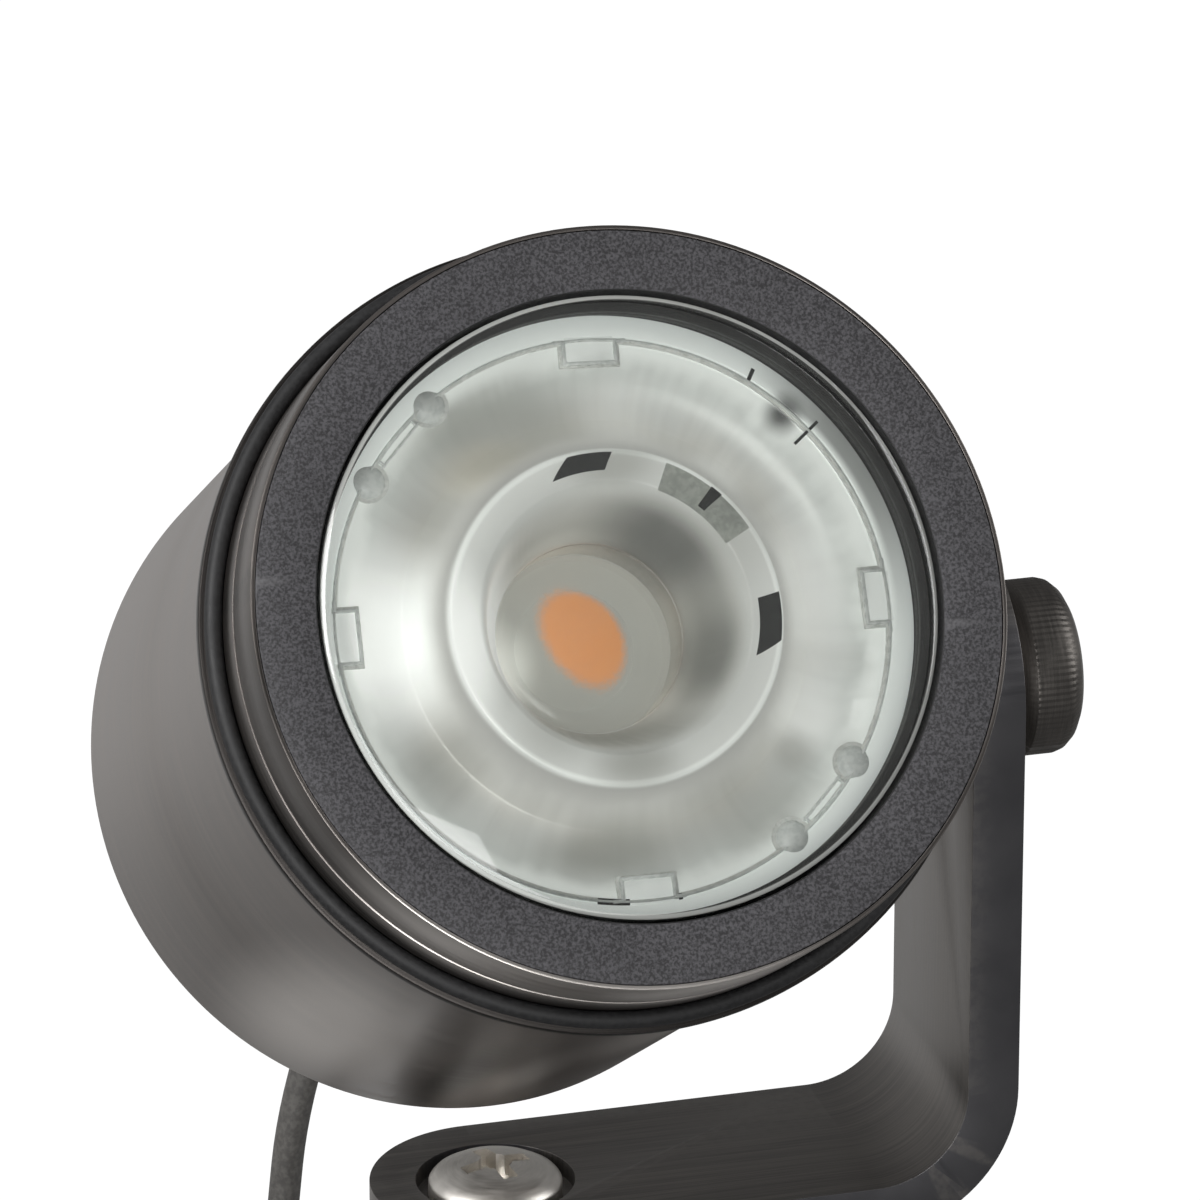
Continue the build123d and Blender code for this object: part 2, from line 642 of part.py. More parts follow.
def cable_lead():
    return cable_tube(*split_lead()[1])


def coil_section(margin):
    """The coil's outer section, grown by a margin."""
    width = 2 * (COIL_HALF_WIDTH + margin)
    height = COIL_TOP - COIL_BOTTOM + 2 * margin
    middle = (COIL_TOP + COIL_BOTTOM) / 2
    return Plane.XZ * Pos(COIL_MIDDLE, middle) * RectangleRounded(width, height, CABLE_RADIUS)


def cable_coil():
    return revolve(coil_section(0), Axis.Z)


def cable_ties():
    band = revolve(coil_section(TIE_THICKNESS) - coil_section(SLIP), Axis.Z, revolution_arc=TIE_ARC)
    return [Rot(0, 0, angle - TIE_ARC / 2) * band for angle in TIE_ANGLES]


def cable_tail():
    return cable_tube(TAIL_ROUTE, corner_radii(TAIL_ROUTE))


def plug_place(start):
    return Pos(PLUG_X + start, PLUG_Y, PLUG_Z) * Rot(0, 90, 0)


def plug_boot():
    return plug_place(0) * Cone(PLUG_BOOT_RADIUS, PLUG_RADIUS - 0.8, PLUG_BOOT_LENGTH, align=BASE)


def plug_body():
    nose_start = PLUG_BOOT_LENGTH + PLUG_LENGTH
    body = plug_place(PLUG_BOOT_LENGTH) * Cylinder(PLUG_RADIUS, PLUG_LENGTH, align=BASE)
    body += plug_place(nose_start) * Cylinder(PLUG_NOSE_RADIUS, PLUG_NOSE_LENGTH, align=BASE)
    return body - contacts(SEAT)


def contacts(room=0.0):
    start = PLUG_BOOT_LENGTH + PLUG_LENGTH + PLUG_NOSE_LENGTH - CONTACT_LENGTH
    pin = plug_place(start) * Cylinder(CONTACT_RADIUS + room, CONTACT_LENGTH + room, align=BASE)
    return [Pos(0, y, 0) * pin for y in (-CONTACT_PLACE, CONTACT_PLACE)]


def plug_contacts():
    return contacts()


def at_head(maker):
    """The shape of a piece made in the head's frame, put in its place."""
    shape = maker()
    if isinstance(shape, list):
        return [HEAD_PLACE * piece for piece in shape]
    return HEAD_PLACE * shape


STANDING = [spike, grub_screws, ground_flange, neck_tube, stake_cap, threaded_insert, base_washer,
            base_screw, bracket, knob_washer, housing, pivot_boss, friction_washer, pivot_pad,
            pivot_stud, knob, knob_insert, cable_drop, cable_lead, cable_coil, cable_ties, cable_tail,
            plug_boot, plug_body, plug_contacts]
IN_HEAD = [front_collar, face_ring, glass, glass_gasket, collar_seal, lens, lens_holder, phosphor,
           led_board, led_board_screws, heat_sink, heat_sink_screws, led_wires, board_pillars,
           driver_board, driver_screws, driver_parts, supply_wires, cable_inner, gland_body,
           gland_seal, gland_nut, cable_boot]


def save(name, shape):
    if isinstance(shape, list):
        solids = [solid for piece in shape for solid in piece.solids()]
        shape = Compound(children=solids)
    export_step(shape, f"parts/{name}.step")


for maker in STANDING:
    save(maker.__name__, maker())
for maker in IN_HEAD:
    save(maker.__name__, at_head(maker))
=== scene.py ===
"""A garden spotlight on a ground stake: its shown pieces, finishes, studio light and camera."""
import json
import math

import bmesh
import bpy
from mathutils import Matrix, Vector


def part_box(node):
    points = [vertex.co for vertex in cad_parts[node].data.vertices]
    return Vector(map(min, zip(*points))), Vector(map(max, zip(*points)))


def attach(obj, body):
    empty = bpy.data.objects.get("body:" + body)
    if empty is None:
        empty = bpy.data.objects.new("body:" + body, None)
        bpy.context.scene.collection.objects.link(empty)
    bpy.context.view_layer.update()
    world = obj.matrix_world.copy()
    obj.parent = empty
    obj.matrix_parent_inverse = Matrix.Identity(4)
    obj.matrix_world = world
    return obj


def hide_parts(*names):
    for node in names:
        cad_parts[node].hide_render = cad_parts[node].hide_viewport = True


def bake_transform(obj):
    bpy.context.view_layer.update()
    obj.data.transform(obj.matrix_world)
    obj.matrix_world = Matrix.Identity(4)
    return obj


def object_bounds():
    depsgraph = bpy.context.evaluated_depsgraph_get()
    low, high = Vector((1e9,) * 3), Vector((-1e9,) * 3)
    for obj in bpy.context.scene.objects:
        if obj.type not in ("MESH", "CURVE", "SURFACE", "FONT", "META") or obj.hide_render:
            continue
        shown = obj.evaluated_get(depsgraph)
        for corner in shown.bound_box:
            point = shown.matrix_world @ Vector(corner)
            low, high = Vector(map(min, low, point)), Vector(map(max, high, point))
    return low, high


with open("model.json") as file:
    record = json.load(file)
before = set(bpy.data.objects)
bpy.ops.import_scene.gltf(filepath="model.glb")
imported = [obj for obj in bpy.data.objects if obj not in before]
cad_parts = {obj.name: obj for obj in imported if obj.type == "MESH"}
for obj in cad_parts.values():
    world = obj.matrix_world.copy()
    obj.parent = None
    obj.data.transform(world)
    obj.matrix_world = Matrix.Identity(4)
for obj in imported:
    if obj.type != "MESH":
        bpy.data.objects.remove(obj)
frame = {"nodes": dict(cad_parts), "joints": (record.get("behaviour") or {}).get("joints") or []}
cad_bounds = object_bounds()

MM = 0.001
ROUND = 160                     # sides of a turned piece
FINE_ROUND = 192                # sides of the head's large rings
HEAD_TILT = math.radians(32)    # how far the light points up at rest
PIVOT_DEPTH = 77.7              # from the front face back to the tilt axis
HEAD_BACK = 99.5                # depth of the housing's rear face
BAR = 6.3                       # the bracket's thickness
BAR_HALF = 15                   # half its width, and the radius of its round ends
BEND = 11                       # inner radius of its bend
STUD_HOLE = 4.05                # radius of the holes for the stud and the base screw
SINK = 2.3                      # how deep the base screw's head is let into the plate
CABLE = 4.0                     # the cable's thickness
CABLE_BORE = 2.05               # radius of the bores that the cable runs through


def joint_point(name):
    """Where a joint's axis is, in metres."""
    return Vector(next(joint["pos_m"] for joint in frame["joints"] if joint["name"] == name))


def middle(name):
    low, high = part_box(name)
    return (Vector(low) + Vector(high)) / 2


pivot = joint_point("head_tilt")
head_centre = Vector((middle("glass").x, 0, pivot.z))
to_head = Matrix.Translation(head_centre) @ Matrix.Rotation(math.pi / 2 - HEAD_TILT, 4, "X")
along_tilt = Matrix.Translation(Vector((0, 0, pivot.z))) @ Matrix.Rotation(math.pi / 2, 4, "Y")
plate_low, plate_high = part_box("bracket")
PLATE_BOTTOM = plate_low[2] / MM
ARM_OUTER = plate_high[0] / MM
PLATE_TOP = PLATE_BOTTOM + BAR
ARM_INNER = ARM_OUTER - BAR
PIVOT_Z = pivot.z / MM


# Camera and lights

def add_camera():
    data = bpy.data.cameras.new("camera")
    data.lens = 263
    data.sensor_width = 36
    data.clip_end = 50
    camera = bpy.data.objects.new("camera", data)
    bpy.context.collection.objects.link(camera)
    camera.location = head_centre + Vector((-237.5, -909.1, 399.2)) * MM
    camera.rotation_euler = (math.radians(90 - 22.2), 0, math.radians(-15.5))
    bpy.context.scene.camera = camera


def softbox(name, place, width, height, watts):
    """An area light that looks at the head from a place given in metres from it."""
    data = bpy.data.lights.new(name, "AREA")
    data.shape = "RECTANGLE"
    data.size = width
    data.size_y = height
    data.energy = watts
    light = bpy.data.objects.new(name, data)
    bpy.context.collection.objects.link(light)
    light.location = head_centre + Vector(place)
    light.rotation_euler = (-Vector(place)).to_track_quat("-Z", "Y").to_euler()


add_camera()


# Making pieces

def deselect():
    if bpy.context.object and bpy.context.object.mode != "OBJECT":
        bpy.ops.object.mode_set(mode="OBJECT")
    bpy.ops.object.select_all(action="DESELECT")


def take(piece):
    """Makes one piece the only selected one."""
    deselect()
    piece.select_set(True)
    bpy.context.view_layer.objects.active = piece
    return piece


def named(name):
    piece = bpy.context.object
    piece.name = name
    piece.data.name = name
    return piece


def edit_all(piece):
    """Takes a piece into edit mode with all of it selected."""
    take(piece)
    bpy.ops.object.mode_set(mode="EDIT")
    bpy.ops.mesh.select_all(action="SELECT")


def close_mesh(merge=0.0):
    """Merges points within a distance in millimetres, turns faces outwards and leaves edit mode."""
    bpy.ops.mesh.select_all(action="SELECT")
    if merge:
        bpy.ops.mesh.remove_doubles(threshold=merge * MM)
    bpy.ops.mesh.normals_make_consistent(inside=False)
    bpy.ops.object.mode_set(mode="OBJECT")


def settle(piece, matrix=None):
    """Puts a piece in its place and leaves its object at the origin, unturned and unscaled."""
    take(piece)
    if matrix is not None:
        piece.matrix_world = matrix @ piece.matrix_world
    bpy.ops.object.transform_apply(location=True, rotation=True, scale=True)
    return piece


def apply_modifier(piece, name, kind, **settings):
    take(piece)
    modifier = piece.modifiers.new(name, kind)
    for key, value in settings.items():
        setattr(modifier, key, value)
    bpy.ops.object.modifier_apply(modifier=modifier.name)


def smooth(piece, angle=32):
    take(piece)
    bpy.ops.object.shade_smooth_by_angle(angle=math.radians(angle))
    return piece


def ease_edges(piece, width, segments=3, angle=32):
    """Rounds a piece's sharp edges by a width in millimetres and shades it smooth."""
    apply_modifier(piece, "edges", "BEVEL", width=width * MM, segments=segments,
                   limit_method="ANGLE", angle_limit=math.radians(angle), use_clamp_overlap=True)
    return smooth(piece)


def turned(name, outline, sides=ROUND):
    """A piece turned about the Z axis: a circle extruded ring by ring along (radius, height) steps."""
    on_axis = 0.001
    rings = [(max(radius, on_axis), height) for radius, height in outline]
    rings.append(rings[0])
    radius, height = rings[0]
    deselect()
    bpy.ops.mesh.primitive_circle_add(vertices=sides, radius=radius * MM, location=(0, 0, 0))
    piece = named(name)
    edit_all(piece)
    bpy.ops.transform.translate(value=(0, 0, height * MM))
    for next_radius, next_height in rings[1:]:
        rise = (next_height - height) * MM
        bpy.ops.mesh.extrude_edges_move(TRANSFORM_OT_translate={"value": (0, 0, rise)})
        grow = next_radius / radius
        bpy.ops.transform.resize(value=(grow, grow, 1), center_override=(0, 0, 0))
        radius, height = next_radius, next_height
    close_mesh(0.004)
    return piece


def in_head(outline):
    """An outline of (radius, depth behind the front face) as (radius, height) in the head's frame."""
    return [(radius, PIVOT_DEPTH - depth) for radius, depth in outline]


def head_turned(name, outline, edge=0.3, sides=ROUND, segments=2):
    piece = turned(name, in_head(outline), sides)
    if edge:
        ease_edges(piece, edge, segments)
    return settle(smooth(piece), to_head)


def block(name, size, centre, turn=0.0):
    """A box of a size in millimetres round a centre, turned about Z."""
    deselect()
    bpy.ops.mesh.primitive_cube_add(size=1, location=Vector(centre) * MM, rotation=(0, 0, turn))
    piece = named(name)
    piece.scale = Vector(size) * MM
    return settle(piece)


def post(name, radius, low, high, sides=96, centre=(0, 0)):
    """A cylinder along Z between two heights, in millimetres."""
    deselect()
    bpy.ops.mesh.primitive_cylinder_add(
        vertices=sides, radius=radius * MM, depth=(high - low) * MM,
        location=(centre[0] * MM, centre[1] * MM, (low + high) / 2 * MM))
    return settle(named(name))


def combine(piece, tool, operation="DIFFERENCE"):
    """Cuts, joins or trims a piece with a tool, which is used up."""
    apply_modifier(piece, operation.lower(), "BOOLEAN", object=tool, operation=operation,
                   solver="EXACT")
    bpy.data.objects.remove(tool, do_unlink=True)
    return piece


def copy_of(piece, name, matrix):
    """A copy with its own mesh, moved by a matrix."""
    twin = piece.copy()
    twin.data = piece.data.copy()
    twin.name = name
    twin.data.name = name
    bpy.context.collection.objects.link(twin)
    return settle(twin, matrix)


def copies_at(piece, matrices):
    """A copy of a piece at each matrix. The piece itself goes."""
    copies = [copy_of(piece, piece.name, matrix) for matrix in matrices]
    bpy.data.objects.remove(piece, do_unlink=True)
    return copies


def join(pieces, name):
    deselect()
    for piece in pieces:
        piece.select_set(True)
    bpy.context.view_layer.objects.active = pieces[0]
    bpy.ops.object.join()
    return named(name)


def round_head(angle, radius=0.0, height=0.0):
    """A place in the head's frame, at an angle in degrees round its axis."""
    return (to_head @ Matrix.Rotation(math.radians(angle), 4, "Z")
            @ Matrix.Translation(Vector((radius, 0, height)) * MM))


def select_faces(piece, wanted):
    """Selects a piece's faces in edit mode, by a rule on each face."""
    bpy.ops.mesh.select_mode(type="FACE")
    bpy.ops.mesh.select_all(action="DESELECT")
    build = bmesh.from_edit_mesh(piece.data)
    for face in build.faces:
        face.select_set(bool(wanted(face)))
    bmesh.update_edit_mesh(piece.data)


def dress(piece, finish, body, slot, *nodes):
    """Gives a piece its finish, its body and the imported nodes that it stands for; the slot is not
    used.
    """
    piece.data.materials.clear()
    piece.data.materials.append(finish)
    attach(piece, body)
    if nodes:
        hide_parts(*nodes)
    return piece


# Node trees

def node(tree, kind, settings=None, **inputs):
    """A node with its settings and its inputs, each a value or another node's output."""
    made = tree.nodes.new(kind)
    for key, value in (settings or {}).items():
        setattr(made, key, value)
    for key, value in inputs.items():
        wire(tree, made.inputs[key.replace("_", " ")], value)
    return made


def wire(tree, socket, value):
    if isinstance(value, bpy.types.NodeSocket):
        tree.links.new(value, socket)
    else:
        socket.default_value = value


def maths(tree, operation, first, second=0.0, third=0.0, clamp=False):
    made = node(tree, "ShaderNodeMath", {"operation": operation, "use_clamp": clamp})
    for socket, value in zip(made.inputs, (first, second, third)):
        wire(tree, socket, value)
    return made.outputs[0]


def vector_maths(tree, operation, first, second=(0, 0, 0), scale=1.0):
    made = node(tree, "ShaderNodeVectorMath", {"operation": operation})
    wire(tree, made.inputs[0], first)
    if operation == "SCALE":
        wire(tree, made.inputs["Scale"], scale)
    elif operation not in ("LENGTH", "NORMALIZE"):
        wire(tree, made.inputs[1], second)
    return made.outputs["Value" if operation == "LENGTH" else "Vector"]


def spread(tree, value, low, high, to_low=0.0, to_high=1.0):
    """Maps a value from one range to another, smoothly."""
    made = node(tree, "ShaderNodeMapRange", {"interpolation_type": "SMOOTHSTEP"})
    for key, number in (("Value", value), ("From Min", low), ("From Max", high),
                        ("To Min", to_low), ("To Max", to_high)):
        wire(tree, made.inputs[key], number)
    return made.outputs["Result"]


def blend_colours(tree, factor, first, second, kind="MIX"):
    made = node(tree, "ShaderNodeMix", {"data_type": "RGBA", "blend_type": kind})
    for socket, value in ((made.inputs[0], factor), (made.inputs[6], first), (made.inputs[7], second)):
        wire(tree, socket, value)
    return made.outputs[2]


def ramp(tree, factor, stops):
    """A colour ramp from (place, colour) stops."""
    made = node(tree, "ShaderNodeValToRGB", Fac=factor)
    elements = made.color_ramp.elements
    while len(elements) < len(stops):
        elements.new(0.5)
    for element, (place, colour) in zip(elements, stops):
        element.position = place
        element.color = colour
    return made.outputs["Color"]


def noise(tree, vector, scale, detail=2.0, roughness=0.5):
    made = node(tree, "ShaderNodeTexNoise", Vector=vector, Scale=scale, Detail=detail,
                Roughness=roughness)
    return made.outputs["Fac"]


def group(tree, kind, **inputs):
    """The outputs of an effect's group, placed in a tree with its own values."""
    return node(tree, "ShaderNodeGroup", {"node_tree": kind}, **inputs).outputs


def grey(tree, level):
    return node(tree, "ShaderNodeCombineColor", Red=level, Green=level, Blue=level).outputs[0]


def flat_radius(tree, parts):
    """The X and Y of a place as one vector, and its length."""
    flat = node(tree, "ShaderNodeCombineXYZ", X=parts["X"], Y=parts["Y"]).outputs[0]
    return flat, vector_maths(tree, "LENGTH", flat)


def paint(red, green, blue):
    """A colour from display values out of 255."""
    parts = [value / 255 for value in (red, green, blue)]
    linear = [part / 12.92 if part <= 0.04045 else ((part + 0.055) / 1.055) ** 2.4 for part in parts]
    return (*linear, 1.0)


def effect(name, inputs, outputs):
    """An empty node group with named inputs and outputs, and its two end nodes."""
    tree = bpy.data.node_groups.new(name, "ShaderNodeTree")
    for label, kind, value in inputs:
        tree.interface.new_socket(label, in_out="INPUT", socket_type=kind).default_value = value
    for label, kind in outputs:
        tree.interface.new_socket(label, in_out="OUTPUT", socket_type=kind)
    start = tree.nodes.new("NodeGroupInput")
    end = tree.nodes.new("NodeGroupOutput")
    return tree, start.outputs, end.inputs


NUMBER, POINT = "NodeSocketFloat", "NodeSocketVector"


def make_polar():
    """Distance from the Z axis, height on it and direction round it, of a place in millimetres."""
    tree, given, out = effect("polar", [("Place", POINT, (0, 0, 0))],
                              [("Radius", NUMBER), ("Height", NUMBER), ("Around", POINT)])
    parts = node(tree, "ShaderNodeSeparateXYZ", Vector=given["Place"]).outputs
    flat, radius = flat_radius(tree, parts)
    tree.links.new(radius, out["Radius"])
    tree.links.new(parts["Z"], out["Height"])
    tree.links.new(vector_maths(tree, "NORMALIZE", flat), out["Around"])
    return tree


def make_turning_marks():
    """Fine marks left round a turned piece, as a tone and a height."""
    tree, given, out = effect(
        "turning_marks",
        [("Place", POINT, (0, 0, 0)), ("Fineness", NUMBER, 6.0), ("Length", NUMBER, 2.0)],
        [("Tone", NUMBER), ("Height", NUMBER)])
    polar = group(tree, POLAR, Place=given["Place"])
    across = maths(tree, "ADD", polar["Radius"], polar["Height"])
    across = maths(tree, "MULTIPLY", across, given["Fineness"])
    scaled = vector_maths(tree, "SCALE", polar["Around"], scale=given["Length"])
    lift = node(tree, "ShaderNodeCombineXYZ", Z=across).outputs[0]
    place = vector_maths(tree, "ADD", scaled, lift)
    fine = noise(tree, place, 1.0, 3.0, 0.6)
    broad = noise(tree, vector_maths(tree, "MULTIPLY", place, (1, 1, 0.12)), 1.0, 2.0)
    tree.links.new(maths(tree, "MULTIPLY_ADD", fine, 0.65, maths(tree, "MULTIPLY", broad, 0.35)),
                   out["Tone"])
    tree.links.new(fine, out["Height"])
    return tree


def make_bar_marks():
    """Fine marks along a bar, given a place already stretched along it."""
    tree, given, out = effect("bar_marks", [("Place", POINT, (0, 0, 0))],
                              [("Tone", NUMBER), ("Height", NUMBER)])
    fine = noise(tree, given["Place"], 1.0, 4.0, 0.6)
    broad = noise(tree, vector_maths(tree, "SCALE", given["Place"], scale=0.15), 1.0, 2.0)
    tree.links.new(maths(tree, "MULTIPLY_ADD", fine, 0.7, maths(tree, "MULTIPLY", broad, 0.3)),
                   out["Tone"])
    tree.links.new(fine, out["Height"])
    return tree


def make_grain():
    """Coarse and fine grain of a coated or moulded surface, for a place in millimetres."""
    tree, given, out = effect("grain", [("Place", POINT, (0, 0, 0)), ("Size", NUMBER, 0.4)],
                              [("Tone", NUMBER), ("Height", NUMBER), ("Cloud", NUMBER)])
    scale = maths(tree, "DIVIDE", 1.0, given["Size"])
    fine = noise(tree, given["Place"], scale, 2.0, 0.6)
    tree.links.new(spread(tree, fine, 0.35, 0.68), out["Tone"])
    tree.links.new(fine, out["Height"])
    tree.links.new(noise(tree, given["Place"], 0.08, 3.0, 0.6), out["Cloud"])
    return tree


def make_worn_edges():
    """A mask of the outer edges, broken up as handling wears them."""
    tree, given, out = effect("worn_edges", [("Place", POINT, (0, 0, 0)), ("Start", NUMBER, 0.56)],
                              [("Mask", NUMBER)])
    edge = node(tree, "ShaderNodeNewGeometry").outputs["Pointiness"]
    high = maths(tree, "ADD", given["Start"], 0.06)
    mask = spread(tree, edge, given["Start"], high)
    patchy = spread(tree, noise(tree, given["Place"], 0.9, 3.0), 0.35, 0.65, 0.35, 1.0)
    tree.links.new(maths(tree, "MULTIPLY", mask, patchy), out["Mask"])
    return tree


def make_soft_spot():
    """A soft round patch about a centre, stretched by its reach on each axis."""
    tree, given, out = effect(
        "soft_spot",
        [("Place", POINT, (0, 0, 0)), ("Centre", POINT, (0, 0, 0)), ("Reach", POINT, (1, 1, 1))],
        [("Mask", NUMBER)])
    away = vector_maths(tree, "SUBTRACT", given["Place"], given["Centre"])
    away = vector_maths(tree, "DIVIDE", away, given["Reach"])
    tree.links.new(spread(tree, vector_maths(tree, "LENGTH", away), 1.0, 0.15), out["Mask"])
    return tree


POLAR = make_polar()
TURNING = make_turning_marks()
BAR_MARKS = make_bar_marks()
GRAIN = make_grain()
WORN = make_worn_edges()
SPOT = make_soft_spot()


def place_in(tree, location=(0, 0, 0), rotation=(0, 0, 0), scale=(MM, MM, MM)):
    """The surface's own place, in millimetres, in a frame given in metres."""
    here = node(tree, "ShaderNodeTexCoord").outputs["Object"]
    made = node(tree, "ShaderNodeMapping", {"vector_type": "TEXTURE"}, Vector=here,
                Location=location, Rotation=rotation, Scale=scale)
    return made.outputs[0]


HEAD_FRAME = (tuple(head_centre), (math.pi / 2 - HEAD_TILT, 0, 0))
TILT_FRAME = ((0, 0, pivot.z), (0, math.pi / 2, 0))
STAKE_FRAME = ((0, 0, 0), (0, 0, 0))


def new_finish(name, roughness, metallic=0.0, **settings):
    """A material with one shader, whose plain values are set here."""
    material = bpy.data.materials.new(name)
    material.use_nodes = True
    tree = material.node_tree
    shader = tree.nodes["Principled BSDF"]
    shader.inputs["Roughness"].default_value = roughness
    shader.inputs["Metallic"].default_value = metallic
    for key, value in settings.items():
        shader.inputs[key.replace("_", " ")].default_value = value
    return material, tree, shader


def bump(tree, shader, height, strength, distance=0.05):
    made = node(tree, "ShaderNodeBump", Height=height, Strength=strength, Distance=distance * MM)
    tree.links.new(made.outputs[0], shader.inputs["Normal"])


def mask_spot(tree, place, centre, reach):
    return group(tree, SPOT, Place=place, Centre=centre, Reach=reach)["Mask"]


def wear_edges(tree, place, colour, amount, wear):
    """Blends a colour in where handling has worn the edges."""
    worn = group(tree, WORN, Place=place)["Mask"]
    return blend_colours(tree, maths(tree, "MULTIPLY", worn, amount), colour, wear)


def show_marks(tree, shader, marks, colour, roughness, strength):
    """Joins a brushed metal's colour and marks to its shader."""
    wire(tree, shader.inputs["Base Color"], colour)
    wire(tree, shader.inputs["Roughness"],
         spread(tree, marks["Tone"], 0.3, 0.7, roughness - 0.06, roughness + 0.08))
    bump(tree, shader, marks["Height"], strength)


def turned_metal(name, frame_of, dark, light, roughness, fineness=6.0, strength=0.25,
                 wear=(0.5, 0.5, 0.5, 1), dark_above=None, light_and_shade_spots=()):
    """Metal brushed round an axis, with soft spots of painted highlight and painted shade, blackened
    above a height if one is given.
    """
    material, tree, shader = new_finish(name, roughness, metallic=1.0)
    place = place_in(tree, *frame_of)
    marks = group(tree, TURNING, Place=place, Fineness=fineness)
    colour = blend_colours(tree, spread(tree, marks["Tone"], 0.3, 0.7), dark, light)
    colour = wear_edges(tree, place, colour, 0.6, wear)
    # Each spot blends in a painted highlight or a patch of painted shade.
    for centre, reach, tint, amount in light_and_shade_spots:
        mask = maths(tree, "MULTIPLY", mask_spot(tree, place, centre, reach), amount)
        colour = blend_colours(tree, mask, colour, tint)
    if dark_above is not None:
        height = group(tree, POLAR, Place=place)["Height"]
        black = spread(tree, height, dark_above, dark_above + 0.15, 0.0, 0.85)
        colour = blend_colours(tree, black, colour, paint(34, 33, 33))
    show_marks(tree, shader, marks, colour, roughness, strength)
    return material


def bar_metal(name, dark, light, roughness, stretch):
    """Metal brushed along a bar, its marks drawn out by a stretch in millimetres, with painted shade on
    its sides.
    """
    material, tree, shader = new_finish(name, roughness, metallic=1.0)
    place = place_in(tree, scale=tuple(value * MM for value in stretch))
    marks = group(tree, BAR_MARKS, Place=place)
    colour = blend_colours(tree, spread(tree, marks["Tone"], 0.3, 0.7), dark, light)
    # The bar's narrow sides, facing along Y, get painted shade.
    facing = node(tree, "ShaderNodeTexCoord").outputs["Normal"]
    sideways = node(tree, "ShaderNodeSeparateXYZ", Vector=facing).outputs["Y"]
    on_side = spread(tree, maths(tree, "ABSOLUTE", sideways), 0.5, 0.85, 0.0, 0.85)
    colour = blend_colours(tree, on_side, colour, paint(100, 100, 104))
    colour = wear_edges(tree, place_in(tree), colour, 0.5, paint(150, 146, 142))
    show_marks(tree, shader, marks, colour, roughness, 0.3)
    return material


def grained(name, dark, light, roughness, size, strength, metallic=0.0, cloud=0.15, wear=None,
            bore=None):
    """A moulded, coated or cast surface with fine grain, black inside a bore round the head's axis."""
    material, tree, shader = new_finish(name, roughness, metallic)
    place = place_in(tree)
    grain = group(tree, GRAIN, Place=place, Size=size)
    colour = blend_colours(tree, grain["Tone"], dark, light)
    shade = spread(tree, grain["Cloud"], 0.3, 0.7, 1 - cloud, 1 + cloud)
    colour = blend_colours(tree, 1.0, colour, grey(tree, shade), "MULTIPLY")
    if wear:
        colour = wear_edges(tree, place, colour, 0.6, wear)
    if bore:
        radius = group(tree, POLAR, Place=place_in(tree, *HEAD_FRAME))["Radius"]
        colour = blend_colours(tree, spread(tree, radius, bore + 0.1, bore), colour, paint(14, 14, 15))
    wire(tree, shader.inputs["Base Color"], colour)
    wire(tree, shader.inputs["Roughness"],
         spread(tree, grain["Tone"], 0.0, 1.0, roughness - 0.05, roughness + 0.05))
    bump(tree, shader, grain["Height"], strength)
    return material


# Finishes

# The housing's spots: a broad painted highlight, two small painted highlights and a patch of painted
# shade, low on the can.
can_brushed = turned_metal("can_brushed", HEAD_FRAME, paint(124, 118, 114), paint(163, 156, 151), 0.36,
                           dark_above=PIVOT_DEPTH - 19.3, light_and_shade_spots=(
                               ((-25, -34, 10), (17, 14, 50), paint(250, 244, 238), 1.0),
                               ((-9.5, -41, 8), (4, 7, 34), paint(74, 72, 70), 0.7),
                               ((-2, -42, 10), (5, 7, 24), paint(225, 220, 214), 0.7),
                               ((7, -41.5, 30), (12, 9, 24), paint(214, 208, 202), 0.8)))
# The collar's spots: two broad painted highlights low on it and a patch of painted shade on its left.
collar_brushed = turned_metal("collar_brushed", HEAD_FRAME, paint(108, 104, 101), paint(138, 132, 128),
                              0.34, fineness=9.0, wear=(0.14, 0.135, 0.13, 1), light_and_shade_spots=(
                                  ((-22, -36, 73), (28, 18, 12), paint(240, 234, 228), 1.0),
                                  ((2, -42, 73), (24, 10, 12), paint(240, 234, 228), 1.0),
                                  ((-41, -4, 76), (7, 15, 9), paint(66, 63, 61), 0.6)))
knob_brushed = turned_metal("knob_brushed", TILT_FRAME, paint(94, 91, 88), paint(116, 112, 108), 0.46,
                            strength=0.15, wear=(0.3, 0.29, 0.28, 1))
neck_brushed = turned_metal("neck_brushed", STAKE_FRAME, paint(96, 92, 88), paint(134, 128, 123), 0.38)
bar_brushed = bar_metal("bar_brushed", paint(116, 113, 111), paint(144, 140, 136), 0.4, (14, 0.22, 14))
bright_steel = turned_metal("bright_steel", STAKE_FRAME, paint(228, 224, 217), paint(244, 240, 234),
                            0.4, fineness=5.0, strength=0.12, wear=(0.9, 0.88, 0.85, 1))
plain_steel = turned_metal("plain_steel", TILT_FRAME, paint(176, 174, 170), paint(206, 204, 200), 0.3)
gland_metal = turned_metal("gland_metal", HEAD_FRAME, paint(120, 117, 112), paint(158, 154, 148), 0.3)
brass = turned_metal("brass", TILT_FRAME, paint(196, 160, 96), paint(222, 190, 122), 0.26,
                     wear=(0.9, 0.78, 0.5, 1))
coat = grained("coat", paint(37, 36, 38), paint(78, 77, 80), 0.62, 0.32, 0.55, cloud=0.06,
               wear=paint(100, 99, 101), bore=34.85)
deep_black = grained("deep_black", paint(12, 12, 13), paint(20, 20, 21), 0.6, 0.5, 0.1)
